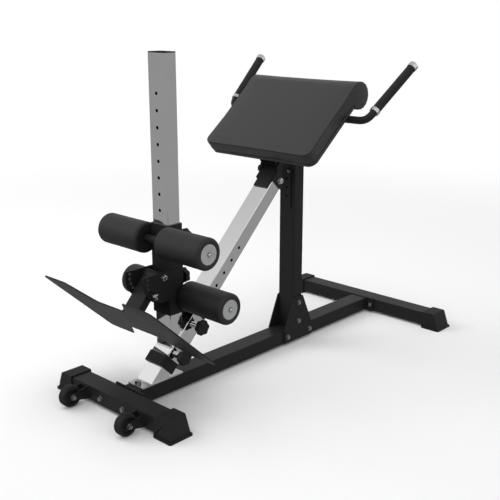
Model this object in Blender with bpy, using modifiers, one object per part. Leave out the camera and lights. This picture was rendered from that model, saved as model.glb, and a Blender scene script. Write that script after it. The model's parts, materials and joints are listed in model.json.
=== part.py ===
"""Glute ham developer: a floor frame with a sloping beam and an upright, a hip pad with two
handles, and a roller column that slides along the beam and carries four foam rollers and a foot plate.

Metres, +Z up. X runs from the front foot (transport wheels) to the rear foot, Y across, and the
origin is on the floor under the middle of the machine.
"""
import bpy
import bmesh
from math import asin, cos, pi, radians, sin
from mathutils import Matrix, Vector

# Clearances
GAP = 0.0003            # between faces that touch
HOLE_FIT = 0.0005       # a hole's radius over the bolt, pin or axle in it
SLEEVE_FIT = 0.0010     # a steel sleeve's inside over the tube, each side
BUSHING_FIT = 0.0003    # a bushing's inside over the tube, each side
WELD = 0.0008           # how far a welded-on piece sinks into the wall that carries it

# Rectangular tube of the frame
TUBE_WIDE = 0.070
TUBE_DEEP = 0.050
TUBE_WALL = 0.003
TUBE_EDGE = 0.004

# Floor frame
FLOOR_CLEAR = 0.009     # beams' underside over the floor
FRONT_BEAM_X = -0.597
REAR_BEAM_X = 0.676
FRONT_BEAM_HALF = 0.246
REAR_BEAM_HALF = 0.343
FLANGE_THICK = 0.006
FLANGE_HALF = 0.067
FLANGE_RISE = 0.003     # flange's top edge over the beam
FLANGE_BOLT_Y = 0.054
VENT_RADIUS = 0.005

# Rubber foot caps
CAP_REACH = 0.046       # length of beam inside a cap
CAP_WALL = 0.0042
CAP_SLOPE = 0.022       # the end's foot beyond its top
CAP_DRAFT = 0.0015
CAP_LIP = 0.0045
CAP_LIP_HIGH = 0.007
CAP_ROUND = 0.006       # radius of its top edge and of the lip's corners

# Transport wheels
WHEEL_RADIUS = 0.034
WHEEL_WIDE = 0.028
WHEEL_Y = 0.136
WHEEL_AXLE_AHEAD = 0.055
WHEEL_AXLE_HIGH = 0.036
WHEEL_HUB = 0.011
WHEEL_RIM = 0.025
WHEEL_RECESS = 0.005
WHEEL_DRAFT = 0.001     # slope of the recess's walls
WHEEL_ROUND = 0.003     # tread's rounding, in from the tread
WHEEL_ROUND_WIDE = 0.004
FORK_THICK = 0.003
FORK_SIDE_GAP = 0.0012
FORK_HIGH = 0.042
FORK_NOSE = 0.012

# Bolts, as radius of shank, half width over corners, head and nut height
BOLT_RADIUS = 0.005
BOLT_CORNER = 0.0098
BOLT_HEAD = 0.0065
CROSS_BOLT_RADIUS = 0.006
CROSS_BOLT_CORNER = 0.012
CROSS_BOLT_HEAD = 0.008

# Upright and its gussets
UPRIGHT_X = 0.1996
GUSSET_THICK = 0.005
GUSSET_FOOT_FRONT = 0.0496   # gusset's foot ahead of and behind the upright's faces
GUSSET_FOOT_REAR = 0.0544
GUSSET_HIGH = 0.117          # gusset's top over the rail
GUSSET_BOLT_LOW = 0.023
GUSSET_BOLT_HIGH = 0.094
GUSSET_RAIL_BOLT = 0.0155    # rail bolts in from the gusset's ends
GUSSET_EDGE = 0.003
GUSSET_UNDER = 0.002         # gusset's underside over the rail's
GUSSET_TAIL = 0.003          # its rear corner under the rail's top

# Hole strip on the upright's front
STRIP_THICK = 0.004
STRIP_HALF = 0.018
STRIP_BOTTOM = 0.505
STRIP_TOP_UNDER = 0.018      # strip's top under the pad frame
STRIP_CORNER = 0.004
STRIP_SHOULDER = 0.640
STRIP_FLARE = 0.014          # rise of the sloping shoulder
STRIP_HOLE_TOP = 0.6128
STRIP_HOLE_PITCH = 0.031
STRIP_HOLES = 3
STRIP_HOLE_RADIUS = 0.0045
STRIP_BOLT_Y = -0.012
STRIP_BOLT_RADIUS = 0.0055
STRIP_BOLT_HEAD = 0.004

# Sloping beam
BEAM_ANGLE = radians(45.0)
BEAM_FOOT_X = -0.47375       # where the beam's axis meets the rail's top
BEAM_TOP_X = 0.096           # its upright end cut
BEAM_HOLE_FIRST = 0.2167     # up the slope from the foot
BEAM_HOLE_PITCH = 0.050
BEAM_STEPS = 6
BASE_PLATE_THICK = 0.005
BASE_PLATE_AHEAD = 0.0653    # plate's ends ahead of and behind the beam's foot
BASE_PLATE_BEHIND = 0.1058
BASE_PLATE_EDGE = 0.003
BASE_BOLT_IN = 0.011
BASE_BOLT_CORNER = 0.011
BASE_BOLT_HEAD = 0.010

# Bracket at the top of the sloping beam
CHEEK_THICK = 0.005
BRACKET_START = 0.777        # cheeks' lower end, up the slope
BRACKET_LIP_START = 0.745    # front plate's lower end
BRACKET_LIP_END = 0.860
BRACKET_LIP_HALF = 0.030
BRACKET_WEB = 0.050          # length of the web between the cheeks
BRACKET_NOSE_X = 0.078
BRACKET_TAIL_X = 0.158
BRACKET_TAIL_DEEP = 0.014
BRACKET_CLEAR = 0.004        # cheeks' rear edge behind the beam's cut end
BRACKET_SQUEEZE = 0.9        # web's thickness as a share of the front plate's
CROSS_BOLT_AT = 0.795
SIDE_NUT_X = 0.088
SIDE_NUT_Z = 0.655
SIDE_NUT_RADIUS = 0.0125
SIDE_NUT_LONG = 0.014

# Pad plane, board, frame and cushion, in distances along (u) and square to (h) the pad
PAD_X = 0.054
PAD_Z = 0.687
PAD_ANGLE = radians(39.57)
PAD_HALF = 0.235
PAD_START = -0.012
PAD_UNDER = 0.021
PAD_OVER = 0.0765
PAD_CORNER = 0.027
PAD_EDGE = 0.007
PAD_NOSE = 0.009             # radius of the front's top edge
PAD_TUCK = 0.003             # of its lower edge
PAD_CROWN = 0.003
PAD_DRAW = 0.003
PAD_UNDER_DRAW = 0.3         # share of the side's rounding that the underside takes
PAD_ROUND_FULL = 0.030       # front corners' rounding ends between these distances
PAD_ROUND_NONE = 0.090
BOARD_THICK = 0.012
BOARD_IN = 0.003
BOARD_END = 0.254
BOARD_CORNER = 0.004
ROLL_U = 0.305
ROLL_H = 0.035
ROLL_RADIUS = 0.047
PAD_PLATE_THICK = 0.005
PAD_PLATE_START = 0.030
PAD_PLATE_END = 0.190
PAD_PLATE_HALF = 0.150
PAD_PLATE_EDGE = 0.012
PAD_FRAME_START = 0.012
PAD_FRAME_END = 0.250
PAD_FRAME_DEEP = 0.040

# Handles
HANDLE_RADIUS = 0.0125
HANDLE_U = 0.221
HANDLE_BEND_Y = 0.258
HANDLE_LOW = Vector((0.242, 0.312, 0.866))     # lower collar's centre
HANDLE_HIGH = Vector((0.406, 0.341, 1.000))    # upper collar's centre
HANDLE_END = 0.010
HANDLE_SOFT = 0.45                             # bend's pull, as a share of its length
GRIP_RADIUS = 0.0150
COLLAR_RADIUS = 0.0165
COLLAR_LONG = 0.009
COLLAR_EDGE = 0.001
GRIP_EDGE = 0.002

# Slider on the sloping beam
SLEEVE_WALL = 0.004
SLIDER_START = 0.047
SLIDER_SLEEVE = 0.166
RING_LONG = 0.037
RING_LIP = 0.006
SLIDER_LOCK_AT = 0.105

# Roller column
COLUMN_X = -0.392
COLUMN_TOP = 1.064
COLUMN_HOLE_TOP = 0.9487
COLUMN_HOLE_PITCH = 0.050
COLUMN_STEPS = 9
COLUMN_CAP_THICK = 0.003
COLUMN_CAP_PLUG = 0.018
COLUMN_CUT_AT = 0.15    # middle of its slanting foot, up the slope
PIN_HOLE_RADIUS = 0.0055

# Carriage on the column
CARRIAGE_LOW = 0.270
CARRIAGE_HIGH = 0.557
CARRIAGE_BUSHING = 0.012
CARRIAGE_LOCK_Z = 0.373
UPPER_AXLE_Z = 0.509
LOWER_AXLE_Z = 0.319
AXLE_RADIUS = 0.0125
ROLLER_RADIUS = 0.048
ROLLER_INNER = 0.042
ROLLER_OUTER = 0.230
ROLLER_ROUND = 0.012
CORE_RADIUS = 0.016
DISC_RADIUS = 0.031
DISC_THICK = 0.0025
DISC_EDGE = 0.001
WASHER_RADIUS = 0.014
WASHER_THICK = 0.0015
AXLE_HEAD_RADIUS = 0.0085
AXLE_HEAD_SIDE = 0.003  # height of its straight side
AXLE_HEAD_FACE = 0.005  # radius of its flat face
AXLE_HEAD_LONG = 0.0055

# Foot plate, its arm and the sector plates
PIVOT_X = -0.447
PIVOT_Z = 0.401
ARM_ANGLE = radians(227.5)
ARM_STEP = radians(14.0)
ARM_STEPS = 4
ARM_HOLE_REACH = 0.064
ARM_WIDE = 0.064
ARM_DEEP = 0.028
ARM_EDGE = 0.003
SECTOR_THICK = 0.005
SECTOR_RADIUS = 0.080
SECTOR_TOP = 0.018
SECTOR_OVERLAP = 0.018
SECTOR_PAST = radians(9.0)     # arc's end beyond the lowest hole
SECTOR_DROP = 0.010            # lower edge under the arc's end
SECTOR_TOE = 0.012             # lower edge's start ahead of the pivot
PIVOT_BOLT_RADIUS = 0.006
PIVOT_BOLT_CORNER = 0.011
PIVOT_BOLT_HEAD = 0.0075
PIN_RADIUS = 0.005
FOOT_REACH = 0.157
FOOT_HALF = 0.250
FOOT_TALL = 0.173
FOOT_THICK = 0.004
NOTCH_MOUTH = 0.136
NOTCH_FLOOR = 0.067
NOTCH_DEEP = 0.089
FOOT_CORNER = 0.020
MOUTH_CORNER = 0.010
NOTCH_CORNER = 0.016
DETENT_HEAD = 0.011
DETENT_NECK = 0.0077
DETENT_FACE = 0.0066
DETENT_STEPS = (0.002, 0.006, 0.012, 0.017, 0.018)   # head's rings over the sector plate
DETENT_TIP = 0.006             # tip beyond the far sector plate
DETENT_CHAMFER = 0.002

# Pop pins and lock screws
BARREL_RADIUS = 0.009
BARREL_LONG = 0.017
NUT_CORNER = 0.011
NUT_LONG = 0.012
KNOB_START = 0.019
KNOB_HUB = 0.007
KNOB_THICK = 0.018
KNOB_RADIUS = 0.0255
KNOB_LOBE = 0.0036      # depth of the hollows between its lobes
KNOB_LOBES = 6
KNOB_POINTS = 5         # outline's points per lobe
KNOB_RIM = 0.003
HUB_RADIUS = 0.011
ROD_DEPTH = 0.75        # share of the knob's thickness that its rod reaches into
PIN_BITE = 0.006        # a dropped pin's tip beyond the tube's wall
RIDING_OUT = 0.012      # carriage's knob further out while its pin rides on the column
PIN_TIP = 0.0015        # chamfer at the tip
BARREL_EDGE = 0.001

CUTTER = 0.4            # side of a block that cuts an end off

X_AXIS = Vector((1.0, 0.0, 0.0))
Y_AXIS = Vector((0.0, 1.0, 0.0))
Z_AXIS = Vector((0.0, 0.0, 1.0))
SIDES = (("left", 1.0), ("right", -1.0))

# Places worked out from the sizes
RAIL_TOP = FLOOR_CLEAR + TUBE_DEEP
BEAM_Z = FLOOR_CLEAR + TUBE_DEEP / 2
SLOPE = Vector((cos(BEAM_ANGLE), 0.0, sin(BEAM_ANGLE)))
SLOPE_UP = Vector((-sin(BEAM_ANGLE), 0.0, cos(BEAM_ANGLE)))
PAD_ALONG = Vector((cos(PAD_ANGLE), 0.0, sin(PAD_ANGLE)))
PAD_UP = Vector((-sin(PAD_ANGLE), 0.0, cos(PAD_ANGLE)))
SLEEVE_HALF_WIDE = TUBE_WIDE / 2 + SLEEVE_FIT + SLEEVE_WALL
SLEEVE_HALF_DEEP = TUBE_DEEP / 2 + SLEEVE_FIT + SLEEVE_WALL
BOARD_TOP = PAD_UNDER + BOARD_THICK
PAD_PLATE_UNDER = PAD_UNDER - GAP - PAD_PLATE_THICK
PAD_FRAME_TOP = PAD_PLATE_UNDER + WELD
PAD_FRAME_UNDER = PAD_FRAME_TOP - PAD_FRAME_DEEP
BASE_PLATE_FRONT = BEAM_FOOT_X - BASE_PLATE_AHEAD
BASE_PLATE_REAR = BEAM_FOOT_X + BASE_PLATE_BEHIND
HANDLE_H = PAD_UNDER - GAP - HANDLE_RADIUS
CARRIAGE_PIN_Z = COLUMN_HOLE_TOP - COLUMN_STEPS * COLUMN_HOLE_PITCH
UPPER_AXLE_X = COLUMN_X - SLEEVE_HALF_DEEP - GAP - AXLE_RADIUS
LOWER_AXLE_X = COLUMN_X + SLEEVE_HALF_DEEP + GAP + AXLE_RADIUS
WHEEL_X = FRONT_BEAM_X - TUBE_WIDE / 2 - WHEEL_AXLE_AHEAD
SECTOR_INNER = SLEEVE_HALF_WIDE - WELD


def on_slope(along, up, y=0.0):
    """A point by its distance up the sloping beam and square to it."""
    foot = Vector((BEAM_FOOT_X, y, RAIL_TOP))
    return foot + SLOPE * along + SLOPE_UP * up


def on_pad(along, up, y=0.0):
    """A point by its distance along the pad and square to it."""
    return Vector((PAD_X, y, PAD_Z)) + PAD_ALONG * along + PAD_UP * up


def frame_under_z(x):
    """Height of the pad frame's underside at a place along the machine."""
    return PAD_Z + (PAD_FRAME_UNDER + sin(PAD_ANGLE) * (x - PAD_X)) / cos(PAD_ANGLE)


# Scene, collections and materials
for old in list(bpy.data.objects):
    bpy.data.objects.remove(old, do_unlink=True)
PARTS = bpy.data.collections.new("glute_ham_developer")
CUTTERS = bpy.data.collections.new("cutters")
bpy.context.scene.collection.children.link(PARTS)
bpy.context.scene.collection.children.link(CUTTERS)


def make_material(name, colour, roughness, metallic):
    """One Principled material."""
    made = bpy.data.materials.new(name)
    made.use_nodes = True
    shader = made.node_tree.nodes["Principled BSDF"]
    shader.inputs["Base Color"].default_value = (*colour, 1.0)
    shader.inputs["Roughness"].default_value = roughness
    shader.inputs["Metallic"].default_value = metallic
    made.diffuse_color = (*colour, 1.0)
    return made


BLACK_PAINT = make_material("black powder coat", (0.022, 0.022, 0.024), 0.38, 0.0)
SILVER_PAINT = make_material("silver polished steel", (0.62, 0.62, 0.62), 0.22, 1.0)
ZINC = make_material("zinc plated steel", (0.70, 0.70, 0.69), 0.28, 1.0)
RUBBER = make_material("black rubber", (0.015, 0.015, 0.015), 0.62, 0.0)
NYLON = make_material("black nylon", (0.018, 0.018, 0.019), 0.45, 0.0)
GREY_PLASTIC = make_material("grey plastic", (0.16, 0.16, 0.165), 0.42, 0.0)
FOAM = make_material("black foam", (0.017, 0.017, 0.018), 0.85, 0.0)
VINYL = make_material("dark grey vinyl", (0.055, 0.055, 0.058), 0.48, 0.0)
PLYWOOD = make_material("plywood", (0.42, 0.30, 0.18), 0.70, 0.0)


# Placing, cutting and joining
def axes(along, wide):
    """Rotation whose Z runs along a direction and whose Y lies towards another."""
    z = along.normalized()
    x = wide.cross(z).normalized()
    y = z.cross(x)
    return Matrix((x, y, z)).transposed()


def place(made, at, along=Z_AXIS, wide=Y_AXIS, parent=None):
    """Sets an object's place and rotation, under an unturned parent if there is one."""
    made.rotation_euler = axes(along, wide).to_euler()
    made.location = at
    if parent is not None:
        made.parent = parent
        made.location = Vector(at) - parent.matrix_world.translation
    return made


def pivot(name, at, parent=None):
    """An empty that stands on a joint's axis."""
    made = bpy.data.objects.new(name, None)
    made.empty_display_size = 0.03
    PARTS.objects.link(made)
    place(made, at, parent=parent)
    bpy.context.view_layer.update()
    return made


def add_part(name, mesh, material):
    """A named sub-part from a mesh."""
    made = bpy.data.objects.new(name, mesh)
    mesh.materials.clear()
    mesh.materials.append(material)
    PARTS.objects.link(made)
    return made


def add_tool(name, mesh):
    """A cutter, or a body to be joined to a sub-part."""
    made = bpy.data.objects.new(name, mesh)
    made.hide_render = True
    made.display_type = "WIRE"
    CUTTERS.objects.link(made)
    return made


def as_tool(made):
    """Turns a finished shape into a body to be joined to a sub-part."""
    PARTS.objects.unlink(made)
    CUTTERS.objects.link(made)
    made.hide_render = True
    made.display_type = "WIRE"
    return made


def combine(made, tool, operation):
    """A Boolean modifier."""
    modifier = made.modifiers.new(operation.lower(), "BOOLEAN")
    modifier.operation = operation
    modifier.solver = "EXACT"
    modifier.object = tool


def mesh_from(bm, name, smooth=False):
    """Writes a bmesh into a new mesh."""
    mesh = bpy.data.meshes.new(name)
    bmesh.ops.recalc_face_normals(bm, faces=bm.faces)
    bm.to_mesh(mesh)
    bm.free()
    if smooth:
        mesh.shade_smooth()
        mesh.set_sharp_from_angle(angle=radians(35))
    return mesh


def add_box(bm, size, centre=(0.0, 0.0, 0.0), edge=0.0, steps=2):
    """A box in a bmesh, with its four edges along Z rounded by edge."""
    made = bmesh.ops.create_cube(bm, size=1.0)["verts"]
    bmesh.ops.scale(bm, vec=size, verts=made)
    bmesh.ops.translate(bm, vec=centre, verts=made)
    if edge:
        along = [e for v in made for e in v.link_edges
                 if abs((e.verts[0].co - e.verts[1].co).normalized().z) > 0.9]
        bmesh.ops.bevel(bm, geom=list(set(along)), offset=edge, segments=steps, profile=0.5,
                        affect="EDGES")


def add_rod(bm, radius, start, end, segments, at=Matrix.Identity(4)):
    """A round or hexagonal rod along Z between two heights, turned by a matrix."""
    turned = at @ Matrix.Translation((0.0, 0.0, (start + end) / 2))
    bmesh.ops.create_cone(bm, cap_ends=True, segments=segments, radius1=radius, radius2=radius,
                          depth=end - start, matrix=turned)


def box_mesh(name, size, centre=(0.0, 0.0, 0.0), edge=0.0):
    """A box as a mesh."""
    bm = bmesh.new()
    add_box(bm, size, centre, edge)
    return mesh_from(bm, name)


def tube(name, length, material, at, along, wide=Y_AXIS, size=(TUBE_DEEP, TUBE_WIDE),
         wall=TUBE_WALL, edge=TUBE_EDGE, parent=None):
    """A hollow rectangular tube with open ends, from a point along a direction."""
    deep, broad = size
    made = add_part(name, box_mesh(name, (deep, broad, length), (0, 0, length / 2), edge), material)
    place(made, at, along, wide, parent)
    inside = (deep - 2 * wall, broad - 2 * wall, length * 1.2)
    bore = add_tool(name + "_bore", box_mesh(name + "_bore", inside, (0, 0, length / 2)))
    place(bore, at, along, wide, parent)
    combine(made, bore, "DIFFERENCE")
    return made


def trim(made, at, outward, parent=None):
    """Cuts away what lies beyond a plane."""
    size = (CUTTER, CUTTER, CUTTER)
    block = add_tool(made.name + "_trim", box_mesh(made.name + "_trim", size, (0, 0, CUTTER / 2)))
    wide = Y_AXIS if abs(outward.y) < 0.5 else X_AXIS
    place(block, at, outward, wide, parent)
    combine(made, block, "DIFFERENCE")


def drill(made, spots, direction, radius, depth, segments=12, parent=None):
    """Round holes at spots in the world, each depth long to both sides."""
    turn = axes(direction, Z_AXIS if abs(direction.y) > 0.5 else Y_AXIS).to_4x4()
    bm = bmesh.new()
    for spot in spots:
        add_rod(bm, radius, -depth, depth, segments, Matrix.Translation(spot) @ turn)
    tool = add_tool(made.name + "_holes", mesh_from(bm, made.name + "_holes"))
    if parent is not None:
        place(tool, Vector((0, 0, 0)), parent=parent)
    combine(made, tool, "DIFFERENCE")


def rounded(points, radii, steps=4):
    """An outline's corners, each turned into an arc where its radius isn't 0."""
    outline = []
    count = len(points)
    for i in range(count):
        here = Vector(points[i])
        radius = radii[i] if isinstance(radii, (list, tuple)) else radii
        if radius == 0:
            outline.append(here)
            continue
        back = (Vector(points[i - 1]) - here).normalized()
        ahead = (Vector(points[(i + 1) % count]) - here).normalized()
        half = back.angle(ahead) / 2
        reach = radius / sin(half) * cos(half)
        centre = here + (back + ahead).normalized() * (radius / sin(half))
        first = here + back * reach - centre
        sweep = first.angle_signed(here + ahead * reach - centre)
        for k in range(steps + 1):
            turn = Matrix.Rotation(-sweep * k / steps, 2)
            outline.append(centre + turn @ first)
    return outline


def plate_mesh(name, outline, thick):
    """A flat plate in local XY with its thickness about local Z, from an outline."""
    curve = bpy.data.curves.new(name + "_outline", "CURVE")
    curve.dimensions = "2D"
    curve.fill_mode = "BOTH"
    curve.extrude = thick / 2
    spline = curve.splines.new("POLY")
    spline.points.add(len(outline) - 1)
    for point, here in zip(spline.points, outline):
        point.co = (here[0], here[1], 0.0, 1.0)
    spline.use_cyclic_u = True
    return curve_mesh(name, curve)


def curve_mesh(name, curve, smooth=False):
    """A curve's closed mesh, with its caps welded on."""
    carrier = bpy.data.objects.new(name + "_curve", curve)
    CUTTERS.objects.link(carrier)
    bpy.context.view_layer.update()
    depsgraph = bpy.context.evaluated_depsgraph_get()
    mesh = bpy.data.meshes.new_from_object(carrier.evaluated_get(depsgraph))
    bpy.data.objects.remove(carrier)
    bm = bmesh.new()
    bm.from_mesh(mesh)
    bmesh.ops.remove_doubles(bm, verts=bm.verts, dist=0.00001)
    bpy.data.meshes.remove(mesh)
    return mesh_from(bm, name, smooth)


def side_plate(name, outline, thick, y, material, parent=None):
    """A plate that stands along the machine, its outline in X and Z and its middle at y."""
    made = add_part(name, plate_mesh(name, outline, thick), material)
    anchor = parent.matrix_world.translation if parent is not None else Vector((0, 0, 0))
    made.rotation_euler = (radians(90), 0.0, 0.0)
    made.location = Vector((0.0, y, 0.0)) - anchor
    made.parent = parent
    return made


def turned(name, profile, steps, material, at, along, parent=None, closed=False, wide=None):
    """A turned piece: a profile of (radius, height) points about local Z, down its outer side."""
    mesh = bpy.data.meshes.new(name)
    edges = [(i, i + 1) for i in range(len(profile) - 1)]
    if closed:
        edges.append((len(profile) - 1, 0))
    mesh.from_pydata([(r, 0.0, z) for r, z in profile], edges, [])
    made = add_part(name, mesh, material)
    screw = made.modifiers.new("turn", "SCREW")
    screw.axis = "Z"
    screw.angle = 2 * pi
    screw.steps = steps
    screw.render_steps = steps
    screw.use_merge_vertices = True
    screw.merge_threshold = 0.00001
    screw.use_smooth_shade = True
    if wide is None:
        wide = Y_AXIS if abs(along.normalized().y) < 0.5 else Z_AXIS
    return place(made, at, along, wide, parent)


def bolt(name, spot, outward, grip, radius=BOLT_RADIUS, corner=BOLT_CORNER, head=BOLT_HEAD,
         nut=True, parent=None):
    """A hexagon bolt: its head on the spot, its shank through the grip and a nut beyond it."""
    bm = bmesh.new()
    add_rod(bm, corner, GAP, GAP + head, 6)
    if nut:
        add_rod(bm, corner, -grip - GAP - head, -grip - GAP, 6)
    made = add_part(name, mesh_from(bm, name), ZINC)
    wide = Z_AXIS if abs(outward.z) < 0.5 else Y_AXIS
    place(made, spot, outward, wide, parent)
    bm = bmesh.new()
    add_rod(bm, radius, -grip - (GAP + head * 1.35 if nut else 0.0), GAP + head * 0.6, 8)
    shank = add_tool(name + "_shank", mesh_from(bm, name + "_shank"))
    place(shank, spot, outward, wide, parent)
    combine(made, shank, "UNION")
    return made


# Floor frame: the two foot beams and the main rail
def foot_beam(name, x, half):
    """A foot beam across the machine, lying flat."""
    made = tube(name, 2 * half, BLACK_PAINT, Vector((x, -half, BEAM_Z)), Y_AXIS, X_AXIS)
    spots = [Vector((x, side * FLANGE_BOLT_Y, BEAM_Z)) for _, side in SIDES]
    drill(made, spots, X_AXIS, BOLT_RADIUS + HOLE_FIT, TUBE_WIDE)
    return made


def foot_cap(name, x, half, side):
    """A rubber boot over a beam's end: a sloping end, a flared lip and a pocket for the beam."""
    top = RAIL_TOP + CAP_WALL
    long_top = CAP_REACH + CAP_WALL
    wide_top = TUBE_WIDE / 2 + CAP_WALL
    outline = [(0.0, 0.0), (long_top + CAP_SLOPE, 0.0), (long_top, top), (0.0, top)]
    mesh = plate_mesh(name, rounded(outline, [0, 0, CAP_ROUND, 0]), 2 * wide_top)
    for vertex in mesh.vertices:
        vertex.co.z *= 1.0 + CAP_DRAFT / wide_top * (1.0 - vertex.co.y / top)
    made = add_part(name, mesh, RUBBER)
    inner = side * (half - CAP_REACH)
    place(made, Vector((x, inner, 0.0)), X_AXIS * side, Z_AXIS)
    lip_long = long_top + CAP_SLOPE + CAP_LIP
    lip_wide = 2 * (wide_top + CAP_DRAFT + CAP_LIP)
    lip = add_tool(name + "_lip", box_mesh(name + "_lip", (lip_wide, lip_long, CAP_LIP_HIGH),
                                           (0, 0, CAP_LIP_HIGH / 2), CAP_ROUND))
    place(lip, Vector((x, inner + side * lip_long / 2, 0.0)))
    combine(made, lip, "UNION")
    pocket_size = (TUBE_WIDE + 2 * GAP, 2 * (CAP_REACH + GAP), TUBE_DEEP + 2 * GAP)
    pocket = add_tool(name + "_pocket", box_mesh(name + "_pocket", pocket_size))
    place(pocket, Vector((x, inner, BEAM_Z)))
    combine(made, pocket, "DIFFERENCE")


def main_rail():
    """The rail between the beams, with a bolting flange welded to each end."""
    front = FRONT_BEAM_X + TUBE_WIDE / 2 + GAP
    rear = REAR_BEAM_X - TUBE_WIDE / 2 - GAP
    made = tube("main_rail", rear - front - 2 * FLANGE_THICK, BLACK_PAINT,
                Vector((front + FLANGE_THICK, 0.0, BEAM_Z)), X_AXIS)
    bm = bmesh.new()
    high = TUBE_DEEP + FLANGE_RISE
    for x in (front + FLANGE_THICK / 2, rear - FLANGE_THICK / 2):
        add_box(bm, (FLANGE_THICK, 2 * FLANGE_HALF, high), (x, 0.0, FLOOR_CLEAR + high / 2))
    combine(made, add_tool("rail_flanges", mesh_from(bm, "rail_flanges")), "UNION")
    spots = [Vector((x, side * FLANGE_BOLT_Y, BEAM_Z)) for x in (front, rear) for _, side in SIDES]
    drill(made, spots, X_AXIS, BOLT_RADIUS + HOLE_FIT, 2 * FLANGE_THICK)
    drill(made, [Vector((front + TUBE_WIDE, 0.0, FLOOR_CLEAR))], Z_AXIS, VENT_RADIUS, 2 * TUBE_WALL)
    drill(made, base_bolt_spots(), Z_AXIS, BOLT_RADIUS + HOLE_FIT, 3 * TUBE_WALL)
    drill(made, gusset_rail_spots(), Y_AXIS, BOLT_RADIUS + HOLE_FIT, TUBE_WIDE)


def gusset_rail_spots():
    """Middle of each bolt through the gussets and the rail."""
    front = UPRIGHT_X - TUBE_DEEP / 2 - GUSSET_FOOT_FRONT + GUSSET_RAIL_BOLT
    rear = UPRIGHT_X + TUBE_DEEP / 2 + GUSSET_FOOT_REAR - GUSSET_RAIL_BOLT
    return [Vector((x, 0.0, BEAM_Z)) for x in (front, rear)]


def gusset_upright_spots():
    """Middle of each bolt through the gussets and the upright."""
    return [Vector((UPRIGHT_X, 0.0, RAIL_TOP + z)) for z in (GUSSET_BOLT_LOW, GUSSET_BOLT_HIGH)]


def base_bolt_spots():
    """Base plate's bolts, on its top face."""
    top = RAIL_TOP + GAP + BASE_PLATE_THICK
    return [Vector((BASE_PLATE_FRONT + BASE_BOLT_IN, 0.0, top))]


FRONT_BEAM = foot_beam("front_foot_beam", FRONT_BEAM_X, FRONT_BEAM_HALF)
foot_beam("rear_foot_beam", REAR_BEAM_X, REAR_BEAM_HALF)
for side_name, side in SIDES:
    foot_cap("front_foot_cap_" + side_name, FRONT_BEAM_X, FRONT_BEAM_HALF, side)
    foot_cap("rear_foot_cap_" + side_name, REAR_BEAM_X, REAR_BEAM_HALF, side)
main_rail()
FLANGE_GRIP = TUBE_WIDE + GAP + FLANGE_THICK
for end_name, outer_x, way in (("front", FRONT_BEAM_X - TUBE_WIDE / 2, -1.0),
                               ("rear", REAR_BEAM_X + TUBE_WIDE / 2, 1.0)):
    for side_name, side in SIDES:
        bolt(end_name + "_flange_bolt_" + side_name, Vector((outer_x, side * FLANGE_BOLT_Y, BEAM_Z)),
             X_AXIS * way, FLANGE_GRIP)


# Transport wheels
def wheel_fork(name, y):
    """A folded U bracket welded to the front beam, its two ears round at the nose."""
    face = FRONT_BEAM_X - TUBE_WIDE / 2 + WELD
    half = WHEEL_WIDE / 2 + FORK_SIDE_GAP
    low = BEAM_Z - FORK_HIGH / 2
    high = BEAM_Z + FORK_HIGH / 2
    nose = [Vector((WHEEL_X + FORK_NOSE * cos(a), WHEEL_AXLE_HIGH + FORK_NOSE * sin(a)))
            for a in (radians(100 + 20 * k) for k in range(9))]
    outline = [Vector((face, high))] + nose + [Vector((face, low))]
    made = side_plate(name, outline, 2 * (half + FORK_THICK), y, BLACK_PAINT)
    slot = add_tool(name + "_slot", box_mesh(name + "_slot", (CUTTER, 2 * half, CUTTER)))
    place(slot, Vector((face - FORK_THICK - CUTTER / 2, y, WHEEL_AXLE_HIGH)))
    combine(made, slot, "DIFFERENCE")
    drill(made, [Vector((WHEEL_X, y, WHEEL_AXLE_HIGH))], Y_AXIS, BOLT_RADIUS + HOLE_FIT, WHEEL_WIDE)
    return made


def wheel(name, y):
    """A moulded wheel with a rounded tread and a recessed web."""
    anchor = pivot(name + "_axis", Vector((WHEEL_X, y, WHEEL_AXLE_HIGH)))
    half = WHEEL_WIDE / 2
    face = half - WHEEL_RECESS
    tread = half - WHEEL_ROUND_WIDE
    outer = [(BOLT_RADIUS + HOLE_FIT, half), (WHEEL_HUB, half), (WHEEL_HUB + WHEEL_DRAFT, face),
             (WHEEL_RIM - WHEEL_DRAFT, face), (WHEEL_RIM, half), (WHEEL_RADIUS - WHEEL_ROUND, half),
             (WHEEL_RADIUS, tread)]
    profile = outer + [(r, -y) for r, y in reversed(outer)]
    turned(name, profile, 20, RUBBER, anchor.matrix_world.translation.copy(), Y_AXIS, anchor, True)


FORK_OUT = WHEEL_WIDE / 2 + FORK_SIDE_GAP + FORK_THICK
for side_name, side in SIDES:
    combine(FRONT_BEAM, as_tool(wheel_fork("wheel_fork_" + side_name, side * WHEEL_Y)), "UNION")
    wheel("transport_wheel_" + side_name, side * WHEEL_Y)
    bolt("wheel_bolt_" + side_name, Vector((WHEEL_X, side * WHEEL_Y - FORK_OUT, WHEEL_AXLE_HIGH)),
         -Y_AXIS, 2 * FORK_OUT)


# Upright, gussets and hole strip
def upright():
    """The upright tube, its top cut to the pad frame's slope."""
    length = frame_under_z(UPRIGHT_X) + TUBE_DEEP - RAIL_TOP
    made = tube("upright_post", length, BLACK_PAINT, Vector((UPRIGHT_X, 0.0, RAIL_TOP + GAP)), Z_AXIS)
    trim(made, on_pad((UPRIGHT_X - PAD_X) / cos(PAD_ANGLE), PAD_FRAME_UNDER - GAP), PAD_UP)
    drill(made, gusset_upright_spots(), Y_AXIS, BOLT_RADIUS + HOLE_FIT, TUBE_WIDE)
    drill(made, strip_holes(), X_AXIS, STRIP_HOLE_RADIUS, 3 * TUBE_WALL)


def strip_holes():
    """Centres of the strip's open holes."""
    face = UPRIGHT_X - TUBE_DEEP / 2
    return [Vector((face, 0.0, STRIP_HOLE_TOP - k * STRIP_HOLE_PITCH)) for k in range(STRIP_HOLES)]


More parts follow.
